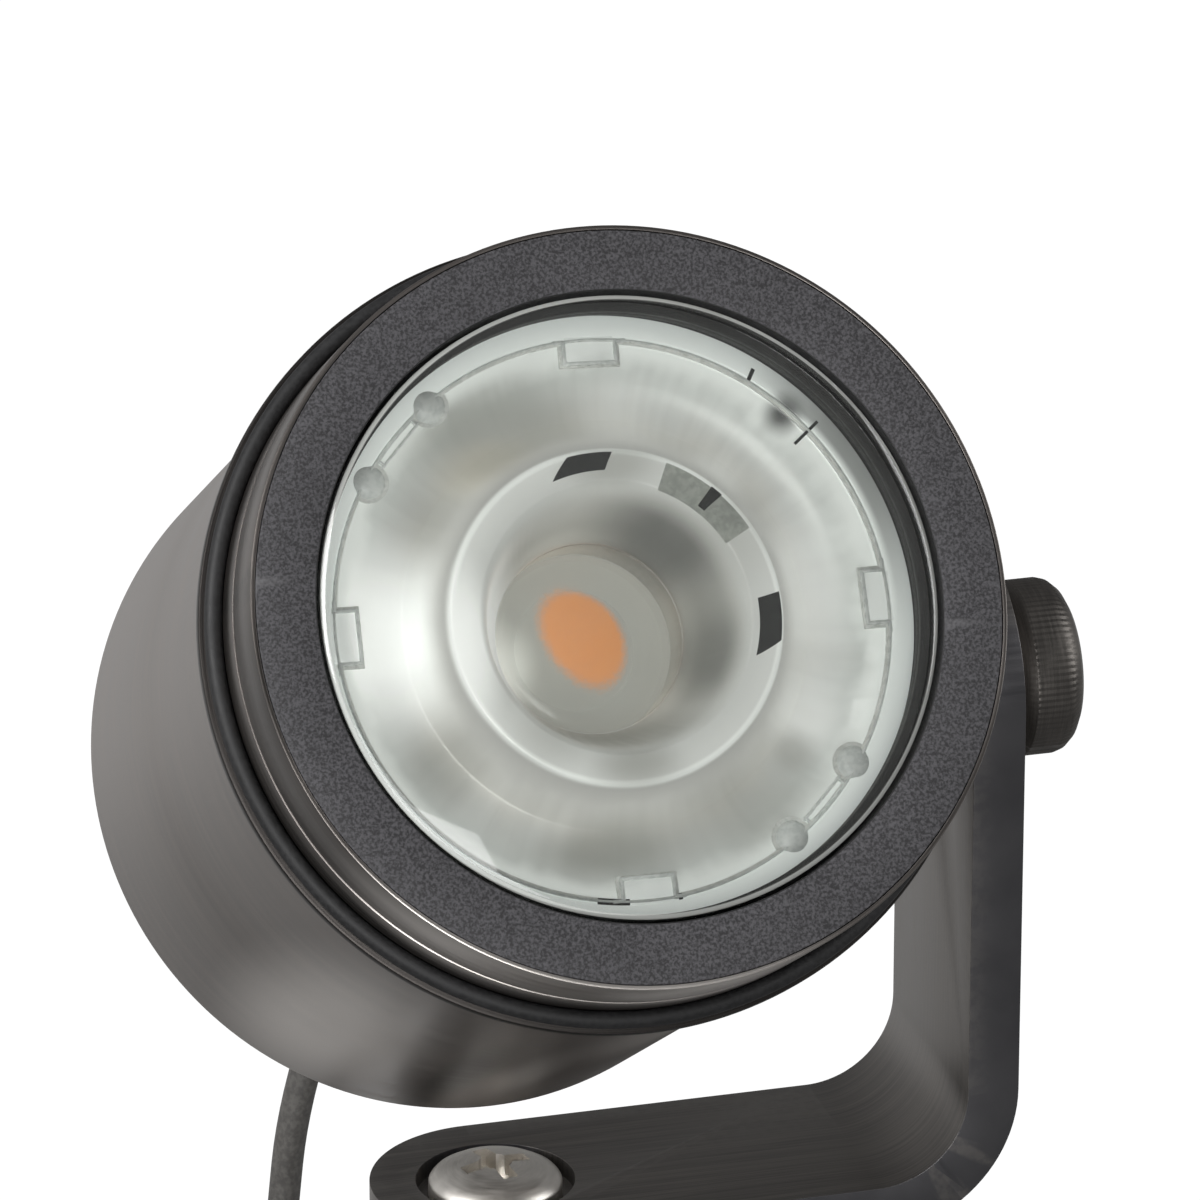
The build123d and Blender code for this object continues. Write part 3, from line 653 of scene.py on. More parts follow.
# A lighter copy of the optic's colour for the outlines round its tabs and dimples and along its flange's
# inner edge: painted highlights.
outline_pale = grained("outline_pale", paint(226, 229, 225), paint(238, 240, 237), 0.3, 0.8, 0.05)
rubber = grained("rubber", paint(22, 22, 23), paint(34, 34, 35), 0.6, 0.5, 0.2)
black_plastic = grained("black_plastic", paint(34, 34, 36), paint(50, 50, 52), 0.5, 0.5, 0.35,
                        wear=paint(90, 90, 92))
stake_plastic = grained("stake_plastic", paint(44, 44, 46), paint(64, 64, 66), 0.55, 0.6, 0.5,
                        wear=paint(104, 104, 104))
board_mask = grained("board_mask", paint(196, 196, 184), paint(208, 208, 198), 0.4, 1.2, 0.1)
sink_metal = grained("sink_metal", paint(168, 168, 168), paint(186, 186, 186), 0.38, 0.8, 0.15,
                     metallic=1.0)
wire_cover = grained("wire_cover", paint(150, 40, 34), paint(168, 52, 44), 0.5, 0.8, 0.1)
cable_cover = grained("cable_cover", paint(72, 70, 68), paint(88, 86, 83), 0.55, 0.7, 0.18)
dark_gap = grained("dark_gap", paint(30, 31, 32), paint(44, 46, 46), 0.5, 0.5, 0.1)
pale_pad = grained("pale_pad", paint(168, 172, 166), paint(188, 192, 186), 0.45, 0.8, 0.1)


def make_optic_finish():
    """Satin moulded optic, glowing a little with painted light: rings of tone over the radius that paint
    its reflections, with soft patches of painted highlight and painted shade and radial streaks of
    painted reflection.
    """
    # The emission makes the optic glow with painted light.
    material, tree, shader = new_finish("optic_satin", 0.34, 0.1, Coat_Weight=0.2, Coat_Roughness=0.2,
                                        Emission_Strength=0.44)
    place = place_in(tree, *HEAD_FRAME)
    polar = group(tree, POLAR, Place=place)
    radius = polar["Radius"]
    around = vector_maths(tree, "SCALE", polar["Around"], scale=3.4)
    drift = node(tree, "ShaderNodeCombineXYZ", Z=maths(tree, "MULTIPLY", radius, 0.09)).outputs[0]
    wave = noise(tree, vector_maths(tree, "ADD", around, drift), 1.0, 3.0, 0.62)
    streak = noise(tree, vector_maths(tree, "SCALE", polar["Around"], scale=16.0), 1.0, 3.0, 0.6)
    in_bowl = maths(tree, "MULTIPLY", spread(tree, radius, 19.0, 21.5), spread(tree, radius, 30.6, 28.5))
    in_well = spread(tree, radius, 15.2, 13.2)
    on_ring = maths(tree, "MULTIPLY", spread(tree, radius, 14.0, 15.2), spread(tree, radius, 19.2, 18.4))
    on_rim = spread(tree, radius, 31.4, 32.4)
    bend = maths(tree, "MULTIPLY", spread(tree, wave, 0.3, 0.7, -0.9, 0.9), in_bowl)
    # The rings of tone are painted reflections and highlights round the optic's features.
    rings = ramp(tree, maths(tree, "DIVIDE", maths(tree, "ADD", radius, bend), 34.0), [
        (0.00, paint(168, 164, 152)), (0.30, paint(180, 178, 170)), (0.36, paint(168, 168, 162)),
        (0.43, paint(188, 190, 187)), (0.528, paint(206, 208, 205)), (0.536, paint(228, 231, 228)),
        (0.547, paint(228, 231, 228)), (0.556, paint(170, 170, 167)), (0.60, paint(186, 186, 182)),
        (0.665, paint(187, 187, 182)), (0.74, paint(185, 187, 184)), (0.82, paint(188, 192, 189)),
        (0.88, paint(216, 220, 217)), (0.925, paint(224, 229, 226)), (1.00, paint(216, 222, 220))])
    # The streaks darken and lighten the bowl as painted reflection.
    shade = maths(tree, "SUBTRACT", spread(tree, streak, 0.3, 0.7, 0.96, 1.03), 1.0)
    shade = maths(tree, "ADD", 1.0, maths(tree, "MULTIPLY", shade, in_bowl))
    colour = blend_colours(tree, 1.0, rings, grey(tree, shade), "MULTIPLY")
    white, dusk, warm = paint(252, 254, 252), paint(112, 112, 104), paint(190, 184, 168)
    # Soft patches of painted highlight (white), painted shade (dusk) and a warm painted reflection, in
    # the bowl, on the ring, in the well and on the rim.
    bowl_spots = (
        ((-25, 1), (13, 14), white, 1.0), ((-9, 23), (19, 8), dusk, 0.55),
        ((-17, 14), (8, 8), dusk, 0.3), ((-20, -13.5), (7, 7), dusk, 0.42),
        ((-3, -24.8), (13, 5), dusk, 0.62), ((22, 1), (8, 13), white, 0.4),
        ((21, -12), (7, 7), white, 0.4), ((13, -22), (12, 8), dusk, 0.4),
        ((19, -16), (3.5, 3.5), dusk, 0.4), ((-13, -21), (6, 6), dusk, 0.12),
        ((-11, 18), (8, 5), warm, 0.5), ((4, 22), (6, 8), white, 0.15),
        ((14, 15), (5, 4), white, 0.25), ((-9, 18.6), (8, 3.5), dusk, 0.35),
        ((18, 9), (4, 6), dusk, 0.15))
    ring_spots = (
        ((-17, -1), (5, 12), white, 0.9), ((2, 17), (8, 4), dusk, 0.45), ((15, 8), (7, 8), dusk, 0.25),
        ((0, -16.5), (7, 4), dusk, 0.5), ((-10, -13), (6, 5), dusk, 0.2))
    well_spots = (
        ((-12.5, 0), (9, 13), white, 1.0), ((9, 9), (13, 11), paint(70, 72, 70), 0.85),
        ((12, -4), (6, 10), paint(92, 94, 90), 0.75), ((0, -12.5), (13, 5), dusk, 0.55))
    rim_spots = (((29, 15), (13, 24), paint(120, 122, 120), 0.8),)
    for mask_over, light_and_shade_spots in ((in_bowl, bowl_spots), (on_ring, ring_spots), (in_well, well_spots),
                             (on_rim, rim_spots)):
        for (x, y), (wide, tall), tint, amount in light_and_shade_spots:
            mask = mask_spot(tree, place, (x, y, 64), (wide, tall, 40))
            mask = maths(tree, "MULTIPLY", maths(tree, "MULTIPLY", mask, amount), mask_over)
            colour = blend_colours(tree, mask, colour, tint)
    tab = maths(tree, "MULTIPLY", mask_spot(tree, place, (22.6, 21.0, 67.6), (3.0, 3.0, 6)), 0.95)
    colour = blend_colours(tree, tab, colour, paint(52, 54, 54))
    wire(tree, shader.inputs["Base Color"], colour)
    # Painted light: the optic glows in its own colour.
    wire(tree, shader.inputs["Emission Color"], colour)
    wire(tree, shader.inputs["Roughness"], spread(tree, streak, 0.3, 0.7, 0.28, 0.42))
    bump(tree, shader, wave, 0.25, 0.3)
    return material


def make_patch_finish():
    """The light source and the dish round it, glowing with painted light: warm in the middle, with a
    soft edge into its pale surround, which carries a painted highlight on its left.
    """
    # The emission makes the phosphor and its dish glow with painted light.
    material, tree, shader = new_finish("patch_warm", 0.5, Emission_Strength=0.95)
    place = place_in(tree, *HEAD_FRAME)
    speck = noise(tree, place, 2.5, 3.0)
    leaning = node(tree, "ShaderNodeVectorRotate", {"rotation_type": "Z_AXIS"}, Vector=place,
                   Angle=-0.42).outputs[0]
    lit = mask_spot(tree, leaning, (1.0, 0.7, 66), (7.2, 9.8, 60))
    lit = maths(tree, "ADD", lit, spread(tree, speck, 0.3, 0.7, -0.04, 0.04))
    warm = blend_colours(tree, speck, paint(196, 116, 44), paint(208, 136, 64))
    # A painted highlight on the left of the pale surround.
    glow = mask_spot(tree, place, (-9.4, -1.6, 66), (5.4, 8.5, 60))
    pale = blend_colours(tree, glow, paint(140, 141, 138), paint(216, 218, 216))
    colour = blend_colours(tree, spread(tree, lit, 0.2, 0.55), pale, warm)
    wire(tree, shader.inputs["Base Color"], colour)
    wire(tree, shader.inputs["Emission Color"], colour)
    bump(tree, shader, speck, 0.2)
    return material


def mix_shaders(tree, factor, first, second):
    made = node(tree, "ShaderNodeMixShader", Fac=factor)
    tree.links.new(first.outputs[0], made.inputs[1])
    tree.links.new(second.outputs[0], made.inputs[2])
    return made


def make_clear(name, haze, tint, edge_start=None, gloss_roughness=0.03):
    """Clear glass or plastic: see-through with a reflecting surface, a little haze and a pale edge that
    is a painted highlight on the bevel.
    """
    material = bpy.data.materials.new(name)
    material.use_nodes = True
    tree = material.node_tree
    tree.nodes.remove(tree.nodes["Principled BSDF"])
    place = place_in(tree, *HEAD_FRAME)
    mist = noise(tree, place, 0.12, 3.0)
    through = node(tree, "ShaderNodeBsdfTransparent")
    wire(tree, through.inputs["Color"], tint)
    milk = node(tree, "ShaderNodeBsdfDiffuse")
    milk_tone = blend_colours(tree, mist, paint(222, 224, 218), paint(236, 238, 234))
    wire(tree, milk.inputs["Color"], milk_tone)
    cover = spread(tree, mist, 0.3, 0.7, haze * 0.9, haze * 1.1)
    if edge_start:
        parts = node(tree, "ShaderNodeSeparateXYZ", Vector=place).outputs
        radius = flat_radius(tree, parts)[1]
        # A milkier band on the pane's front bevel, a painted highlight.
        rim = maths(tree, "MULTIPLY", spread(tree, radius, edge_start, edge_start + 0.2),
                    spread(tree, parts["Z"], PIVOT_DEPTH - 0.8, PIVOT_DEPTH - 0.6))
        cover = maths(tree, "MULTIPLY_ADD", rim, 0.4, cover, clamp=True)
    body = mix_shaders(tree, cover, through, milk)
    gloss = node(tree, "ShaderNodeBsdfGlossy")
    gloss.inputs["Color"].default_value = (1, 1, 1, 1)
    gloss.inputs["Roughness"].default_value = gloss_roughness
    fresnel = node(tree, "ShaderNodeFresnel")
    fresnel.inputs["IOR"].default_value = 1.5
    whole = mix_shaders(tree, fresnel.outputs[0], body, gloss)
    tree.links.new(whole.outputs[0], tree.nodes["Material Output"].inputs["Surface"])
    return material


optic_satin = make_optic_finish()
patch_warm = make_patch_finish()
pane_clear = make_clear("pane_clear", 0.015, (0.98, 0.984, 0.975, 1), edge_start=33.7)
dome_clear = make_clear("dome_clear", 0.1, (0.95, 0.95, 0.93, 1), gloss_roughness=0.15)
# A lighter copy of the optic's colour for its raised rims, lugs, rails, dimples and edge ring: painted
# highlights.
optic_edge = grained("optic_edge", paint(226, 231, 229), paint(238, 242, 240), 0.3, 0.8, 0.05)


# Cable: its lead, the coil round the neck and the tail to the plug

LEAD_ROUTE = [(-1.7, 39.7, 100.2), (-1.7, 51.6, 92.8), (-3.6, 57.4, 79.5), (-6.4, 58.6, 64.5),
              (-10.9, 58.6, 49.0), (-12.0, 60.0, 35.0), (-14.0, 57.0, 22.0), (-17.5, 48.5, 12.0),
              (-22.0, 35.0, 7.4), (-25.7, 18.2, 6.5)]
TAIL_ROUTE = [(-19.6, -4.3, 18.9), (-18.5, -8.4, 19.8), (-14.8, -13.9, 21.2), (-9.6, -17.9, 22.4),
              (-3.3, -20.0, 22.8), (2.2, -20.0, 22.8)]
COIL_START = (27.0, 6.5)
COIL_TURNS = 7.9
COIL_MOVES = [(0.86, 23, 6.5), (1.86, 19, 6.5), (2.68, 19, 10.5), (3.50, 23, 10.5), (4.50, 27, 10.5),
              (5.32, 27, 14.5), (6.14, 23, 14.5), (7.14, 19, 14.5)]
MOVE_TURNS = 0.14
POINTS_A_TURN = 24


def coil_route():
    """Turns beside and on each other; each move to the next row or layer takes part of a turn."""
    points = []
    # The spline runs inside its points, at this share of their radius, so they are set further out.
    inside_corner = 1 - 0.25 * (1 - math.cos(2 * math.pi / POINTS_A_TURN))
    for step in range(int(COIL_TURNS * POINTS_A_TURN) + 1):
        turn = step / POINTS_A_TURN
        radius, height = COIL_START
        for start, next_radius, next_height in COIL_MOVES:
            share = min(max((turn - start) / MOVE_TURNS, 0), 1)
            share = share * share * (3 - 2 * share)
            radius += (next_radius - radius) * share
            height += (next_height - height) * share
        angle = math.pi + 2 * math.pi * turn
        radius /= inside_corner
        points.append((radius * math.cos(angle), radius * math.sin(angle), height))
    return points


def smooth_line(points):
    """The line of the NURBS spline through a route, as metres."""
    curve = bpy.data.curves.new("route", "CURVE")
    curve.dimensions = "3D"
    curve.resolution_u = 6
    spline = curve.splines.new("NURBS")
    spline.points.add(len(points) - 1)
    for knot, point in zip(spline.points, points):
        knot.co = (*(Vector(point) * MM), 1)
    spline.order_u = 3
    spline.use_endpoint_u = True
    holder = bpy.data.objects.new("route", curve)
    bpy.context.collection.objects.link(holder)
    mesh = bpy.data.meshes.new_from_object(holder)
    line = [vertex.co.copy() for vertex in mesh.vertices]
    bpy.data.objects.remove(holder, do_unlink=True)
    bpy.data.meshes.remove(mesh)
    return line


def tube_along(name, line, radius):
    """A round tube whose rings stand square to a line, without twisting."""
    sides = 16
    mesh = bpy.data.meshes.new(name)
    build = bmesh.new()
    ahead = (line[1] - line[0]).normalized()
    side = ahead.orthogonal().normalized()
    rings = []
    for place, point in enumerate(line):
        before = line[max(place - 1, 0)]
        after = line[min(place + 1, len(line) - 1)]
        turn = ahead.rotation_difference((after - before).normalized())
        ahead = (after - before).normalized()
        side = (turn @ side).normalized()
        up = ahead.cross(side)
        rings.append([build.verts.new(point + radius * (
            math.cos(2 * math.pi * k / sides) * side + math.sin(2 * math.pi * k / sides) * up))
            for k in range(sides)])
    for first, second in zip(rings, rings[1:]):
        for k in range(sides):
            build.faces.new((first[k], first[(k + 1) % sides], second[(k + 1) % sides], second[k]))
    build.faces.new(list(reversed(rings[0])))
    build.faces.new(rings[-1])
    build.to_mesh(mesh)
    build.free()
    piece = bpy.data.objects.new(name, mesh)
    bpy.context.collection.objects.link(piece)
    return smooth(piece, 60)


lead_line = smooth_line(LEAD_ROUTE + coil_route() + TAIL_ROUTE)
lead = tube_along("lead", lead_line, CABLE / 2 * MM)
lead.data.materials.append(cable_cover)
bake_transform(lead)
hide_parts("cable_drop", "cable_lead", "cable_coil", "cable_tail")


# Plug on the tail's end, along X

PLUG_FROM = Matrix.Translation(Vector(TAIL_ROUTE[-1]) * MM) @ Matrix.Rotation(math.pi / 2, 4, "Y")


def ribbed(start, end, first_radius, last_radius, ribs, depth):
    """An outline of a tapered sleeve with rounded ribs."""
    outline = []
    pitch = (end - start) / ribs
    for rib in range(ribs):
        low = start + rib * pitch
        for share, drop in ((0.0, depth), (0.22, 0), (0.72, 0), (0.94, depth)):
            height = low + share * pitch
            radius = first_radius + (last_radius - first_radius) * (height - start) / (end - start)
            outline.append((radius - drop, height))
    return outline


plug_grip = turned("plug_grip", [(CABLE_BORE, 0.0), *ribbed(0.0, 8.4, 2.9, 5.0, 6, 0.35), (5.1, 9.0),
                                 (CABLE_BORE, 9.0)], 64)
settle(ease_edges(plug_grip, 0.12, 2), PLUG_FROM)
dress(plug_grip, rubber, "bracket", "seal_rubber", "plug_boot")


def make_plug_sleeve():
    sleeve = turned("plug_sleeve", [(0, 9.0), (5.4, 9.0), (6.0, 10.0), (6.0, 22.6), (5.6, 23.0),
                                    (5.6, 23.6), (6.0, 24.0), (6.0, 24.6), (5.2, 25.2), (4.5, 25.2),
                                    (4.5, 33.6), (4.15, 34.2), (3.6, 34.2), (3.6, 28.0), (0, 28.0)], 96)
    flute = post("flute", 0.7, 11.6, 21.4, 16, (6.25, 0))
    ease_edges(flute, 0.3, 2)
    flutes = copies_at(flute, [Matrix.Rotation(2 * math.pi * k / 16, 4, "Z") for k in range(16)])
    combine(sleeve, join(flutes, "flutes"))
    return settle(ease_edges(sleeve, 0.18, 2), PLUG_FROM)


plug_sleeve = make_plug_sleeve()
dress(plug_sleeve, black_plastic, "bracket", "black_plastic", "plug_body")


# Head: housing, collar, face ring, seal and pane

head_can = head_turned("head_can", [
    (37.5, 9.0), (39.6, 9.0), (39.6, 16.0), (41.9, 16.0), (41.9, 17.55), (44.4, 17.55), (44.4, 19.1),
    (42.2, 19.1), (42.2, 60.0), (42.2, 98.7), (41.4, HEAD_BACK), (6.05, HEAD_BACK), (6.05, 95.0),
    (34.5, 95.0), (34.5, 36.0), (37.5, 36.0)], 0.3, FINE_ROUND)
dress(head_can, can_brushed, "head", "housing_metal", "housing")

collar_band = head_turned("collar_band", [
    (41.5, 0.0), (42.0, 0.0), (42.0, 9.8), (41.6, 9.8), (41.6, 10.5), (42.0, 10.5), (42.0, 15.9),
    (39.65, 15.9), (39.65, 2.0), (41.5, 2.0)], 0.12, FINE_ROUND)
dress(collar_band, collar_brushed, "head", "housing_metal", "front_collar")

bezel = head_turned("bezel", [
    (34.75, 0.0), (41.45, 0.0), (41.45, 2.0), (39.6, 2.0), (39.6, 8.8), (34.0, 8.8), (34.0, 6.4),
    (33.3, 6.4), (33.3, 5.0), (34.75, 5.0)], 0.2, FINE_ROUND)
dress(bezel, coat, "head", "face_coat", "face_ring")

seal_ring = head_turned("seal_ring", [
    (42.95 + math.cos(math.radians(a)), 16.5 + math.sin(math.radians(a))) for a in range(0, 360, 30)],
    0, FINE_ROUND)
dress(seal_ring, rubber, "head", "seal_rubber", "collar_seal")

gasket_ring = head_turned("gasket_ring", [(33.3, 4.02), (34.3, 4.02), (34.3, 4.98), (33.3, 4.98)], 0.15)
dress(gasket_ring, deep_black, "head", "seal_rubber", "glass_gasket")

pane = head_turned("pane", [(0, 0.0), (20.0, 0.0), (33.3, 0.0), (34.3, 0.5), (34.3, 4.0), (0, 4.0)],
                   0.12, FINE_ROUND)
dress(pane, pane_clear, "head", "glass", "glass")


# Lens with its flange, trough, raised inner ring and well

optic_body = head_turned("optic_body", [
    (33.9, 8.9), (31.4, 8.9), (31.2, 9.25), (30.6, 9.35), (29.4, 10.5), (27.6, 12.0), (25.2, 13.0),
    (22.8, 12.7), (20.9, 11.0), (19.5, 9.0), (18.8, 7.8), (18.5, 7.3), (15.2, 7.3), (14.6, 8.2),
    (13.9, 10.2), (13.2, 13.0), (12.3, 16.4), (11.3, 19.4), (10.75, 20.3), (10.6, 23.0), (10.5, 26.4),
    (11.0, 26.4), (31.0, 10.4), (33.9, 10.4)], 0.22, FINE_ROUND)
dress(optic_body, optic_satin, "head", "optic", "lens")

optic_dome = head_turned("optic_dome", [
    (0, 19.1), (3.5, 19.22), (7.0, 19.6), (9.3, 20.05), (10.6, 20.3), (10.6, 20.9), (0, 20.9)], 0.15, 96)
dress(optic_dome, dome_clear, "head", "optic")

light_patch = head_turned("light_patch", [
    (0, 24.6), (2.3, 24.8), (4.3, 25.5), (5.8, 26.6), (6.6, 27.8), (6.9, 28.8), (0, 28.8)], 0.05, 64)
dress(light_patch, patch_warm, "head", "phosphor", "phosphor")
light_dish = head_turned("light_dish", [
    (5.6, 28.6), (8.0, 28.3), (10.0, 27.6), (10.4, 26.6), (11.4, 26.6), (11.4, 28.0), (9.0, 28.75),
    (5.6, 28.8)], 0.05, 96)
dress(light_dish, patch_warm, "head", "optic")


def on_lens(name, size, radius, angle, depth):
    """A small bevelled block on the lens, its size along, across and deep."""
    angle = math.radians(angle)
    centre = (radius * math.cos(angle), radius * math.sin(angle), PIVOT_DEPTH - depth - size[2] / 2)
    return ease_edges(block(name, size, centre, angle), 0.12, 2)


def make_lug():
    """The raised rim of a tab at the flange's inner edge, with a foot at each outer corner."""
    rims = [on_lens("rim", (0.4, 6.1, 0.9), 28.5, 0, 8.5)]
    for side in (-1, 1):
        for size, radius, place in (((2.6, 0.4, 0.9), 29.7, 2.9), ((0.4, 1.3, 0.9), 30.9, 3.5)):
            rim = on_lens("rim", size, radius, 0, 8.5)
            rims.append(settle(rim, Matrix.Translation((0, side * place * MM, 0))))
    return join(rims, "lug")


RIM_FACE = 8.85                 # depth of the lens's flange
RING_FACE = 7.3                 # depth of its raised inner ring
TAB_ANGLES = (87, 178, 269, 359)
DIMPLE_ANGLES = (124, 144.5, -37, -57.6)
DIMPLE_RADIUS = 30.7
at_tabs = [round_head(angle) for angle in TAB_ANGLES]
lugs = copies_at(make_lug(), at_tabs)
tabs = copies_at(on_lens("tab", (3.2, 5.6, 0.5), 29.9, 0, RIM_FACE), at_tabs)
# Pale outlines round the tabs and dimples and along the flange's inner edge, painted highlights.
highlight_outlines = copies_at(on_lens("shade", (3.2, 6.9, 0.5), 29.7, 0, 9.0), at_tabs)
collar = turned("collar", [(0, 0), (2.3, 0), (2.3, 0.25), (0, 0.4)], 48)
highlight_outlines += copies_at(collar, [round_head(angle, DIMPLE_RADIUS, PIVOT_DEPTH - 9.4)
                             for angle in DIMPLE_ANGLES])
highlight_outlines.append(head_turned("highlight_ring", [(30.75, 8.95), (31.0, 8.8), (31.0, 9.4), (30.75, 9.4)], 0,
                          FINE_ROUND))
optic_outlines = smooth(join(highlight_outlines, "optic_outlines"))
dress(optic_outlines, outline_pale, "head", "optic")
optic_tabs = smooth(join(tabs, "optic_tabs"))
dress(optic_tabs, optic_satin, "head", "optic")
edge_ring = head_turned("edge_ring", [(31.0, 8.6), (31.25, 8.6), (31.25, 9.2), (31.0, 9.2)], 0.05,
                        FINE_ROUND, 1)
optic_lugs = smooth(join([*lugs, edge_ring], "optic_lugs"))
dress(optic_lugs, optic_edge, "head", "optic")


def make_dimple():
    """A low dome: the cap of a ball, cut off flat and stretched."""
    deselect()
    bpy.ops.mesh.primitive_uv_sphere_add(segments=32, ring_count=16, radius=1.9 * MM)
    dimple = named("dimple")
    edit_all(dimple)
    bpy.ops.mesh.bisect(plane_co=(0, 0, 0.2 * MM), plane_no=(0, 0, 1), use_fill=True, clear_inner=True)
    bpy.ops.mesh.select_all(action="SELECT")
    bpy.ops.transform.resize(value=(1, 1, 0.5), center_override=(0, 0, 0))
    bpy.ops.object.mode_set(mode="OBJECT")
    return smooth(dimple, 40)


dimples = copies_at(make_dimple(), [round_head(angle, DIMPLE_RADIUS, PIVOT_DEPTH - 9.3)
                                    for angle in DIMPLE_ANGLES])
rails = []
for middle_angle in (134.2, -47.3):
    for radius, width, span in ((30.0, 0.3, 6.6), (30.9, 0.3, 7.4)):
        rails.append(on_lens("rail", (width, span, 0.5), radius, middle_angle, 8.75))
    for side in (-1, 1):
        rails.append(on_lens("rail", (1.0, 0.3, 0.5), 30.4, middle_angle + side * 5.5, 8.75))
rails = [settle(rail, to_head) for rail in rails]
optic_dimples = smooth(join(dimples + rails, "optic_dimples"))
dress(optic_dimples, optic_edge, "head", "optic")


def sector(name, inner, outer, inner_angles, outer_angles, depth):
    """A thin plate shaped as a slanted piece of a ring, from a grid bent round the axis."""
    thickness = 0.12
    deselect()
    bpy.ops.mesh.primitive_grid_add(x_subdivisions=16, y_subdivisions=6, size=1)
    piece = named(name)
    for vertex in piece.data.vertices:
        share, across = vertex.co.x + 0.5, vertex.co.y + 0.5
        radius = inner + (outer - inner) * across
        start = inner_angles[0] + (outer_angles[0] - inner_angles[0]) * across
        end = inner_angles[1] + (outer_angles[1] - inner_angles[1]) * across
        angle = math.radians(start + (end - start) * share)
        vertex.co = Vector((radius * math.cos(angle), radius * math.sin(angle),
                            PIVOT_DEPTH - depth)) * MM
    edit_all(piece)
    close_mesh()
    apply_modifier(piece, "thickness", "SOLIDIFY", thickness=thickness * MM, offset=0)
    return settle(ease_edges(piece, 0.03, 1), to_head)


# Thin dark plates laid on the lens for its windows and slots, painted shade in place of cut recesses.
optic_windows = join([
    sector("window", 16.3, 18.3, (86.5, 108), (83.5, 99.5), RING_FACE),
    sector("window", 16.0, 18.5, (1.6, -21.5), (2.9, -14), RING_FACE),
    sector("slot", 15.6, 18.3, (43.0, 46.3), (41.7, 46.3), RING_FACE - 0.1),
    sector("slot", 30.8, 31.5, (-101.7, -95.1), (-101.7, -95.1), RIM_FACE),
    sector("slot", 30.8, 31.5, (-85.0, -84.2), (-85.0, -84.2), RIM_FACE),
    sector("slot", 28.9, 32.6, (36.4, 37.1), (36.5, 37.1), RIM_FACE),
    sector("slot", 31.0, 32.7, (52.2, 53.0), (52.5, 53.3), RIM_FACE)], "optic_windows")
dress(optic_windows, dark_gap, "head", "black_plastic")

optic_pad = sector("optic_pad", 14.95, 18.2, (27, 64), (27, 64), 7.28)
dress(optic_pad, pale_pad, "head", "optic")


# Bracket, base screw and knob

def make_bar():
    """A flat bar bent once, with full-round ends, a counterbored hole and the stud's hole."""
    bend_x = ARM_INNER - BEND
    bend_z = PLATE_TOP + BEND
    bar = block("bar", (BAR_HALF + bend_x, 2 * BAR_HALF, BAR),
                ((bend_x - BAR_HALF) / 2, 0, PLATE_BOTTOM + BAR / 2))
    edit_all(bar)
    select_faces(bar, lambda face: face.normal.x > 0.9)
    bpy.ops.mesh.spin(steps=24, angle=math.pi / 2, center=(bend_x * MM, 0, bend_z * MM),
                      axis=(0, 1, 0))
    rise = PIVOT_Z + BAR_HALF - bend_z
    bpy.ops.mesh.extrude_region_move(TRANSFORM_OT_translate={"value": (0, 0, rise * MM)})
    close_mesh(0.001)
    combine(bar, round_ended("low", 100, -20, 160), "INTERSECT")
    side = round_ended("side", -200, -20, 80)
    combine(bar, settle(side, along_tilt @ Matrix.Rotation(math.pi, 4, "Z")), "INTERSECT")
    combine(bar, post("hole", STUD_HOLE, 40, 90, 64))
    combine(bar, post("sink", 9.5, PLATE_TOP - SINK, 90, 96))
    combine(bar, settle(post("hole", STUD_HOLE, 40, 90, 64), along_tilt))
    return ease_edges(bar, 0.45, 3, 40)


def round_ended(name, reach, low, high):
    """A block as wide as the bar with a round end on the Z axis, reaching out along X."""
    end = post(name, BAR_HALF, low, high, 128)
    size = (abs(reach), 2 * BAR_HALF, high - low)
    return combine(end, block("body", size, (reach / 2, 0, (low + high) / 2)), "UNION")


bar = make_bar()
dress(bar, bar_brushed, "bracket", "bracket_metal", "bracket")


def make_pan_screw():
    """A domed head on a plain shank, with a recess of two slots and a round middle."""
    seat = PLATE_TOP - SINK
    screw = turned("pan_screw", [
        (0, seat + 4.6), (2.2, seat + 4.52), (4.4, seat + 4.2), (6.2, seat + 3.6), (7.4, seat + 2.9),
        (8.0, seat + 2.2), (8.0, seat), (4.0, seat), (4.0, seat - 20.4), (3.4, seat - 21.0),
        (0, seat - 21.0)], 128)
    ease_edges(screw, 0.25, 2, 40)
    for turn in (12, 102):
        combine(screw, block("cut", (8.4, 1.9, 5.2), (0, 0, seat + 4.6), math.radians(turn)))
    combine(screw, post("cut", 2.0, seat + 1.6, seat + 6, 48))
    return smooth(screw, 25)


pan_screw = make_pan_screw()
dress(pan_screw, bright_steel, "stake", "stainless", "base_screw")


def make_knob():
    """A turned knob whose band is fluted all round by drawing out every second point."""
    start = ARM_OUTER + 0.55
    teeth = 84
    draw_out = 1.014
    knob = turned("thumb_knob", [
        (6.05, 0.0), (8.4, 0.0), (10.35, 2.55), (10.35, 2.9), (10.35, 6.2), (10.05, 7.2), (9.3, 8.2),
        (8.2, 8.8), (7.2, 9.0), (6.9, 8.75), (0, 8.75), (0, 7.5), (6.05, 7.5)], 2 * teeth)
    for vertex in knob.data.vertices:
        radius = math.hypot(vertex.co.x, vertex.co.y) / MM
        height = vertex.co.z / MM
        place = round(math.atan2(vertex.co.y, vertex.co.x) / math.pi * teeth)
        if radius > 9.9 and 2.0 < height < 7.5 and place % 2 == 0:
            vertex.co.x *= draw_out
            vertex.co.y *= draw_out
    ease_edges(knob, 0.06, 1, 35)
    return settle(knob, along_tilt @ Matrix.Translation((0, 0, start * MM)))


thumb_knob = make_knob()
dress(thumb_knob, knob_brushed, "knob", "knob_metal", "knob")


# Cable gland at the rear of the head

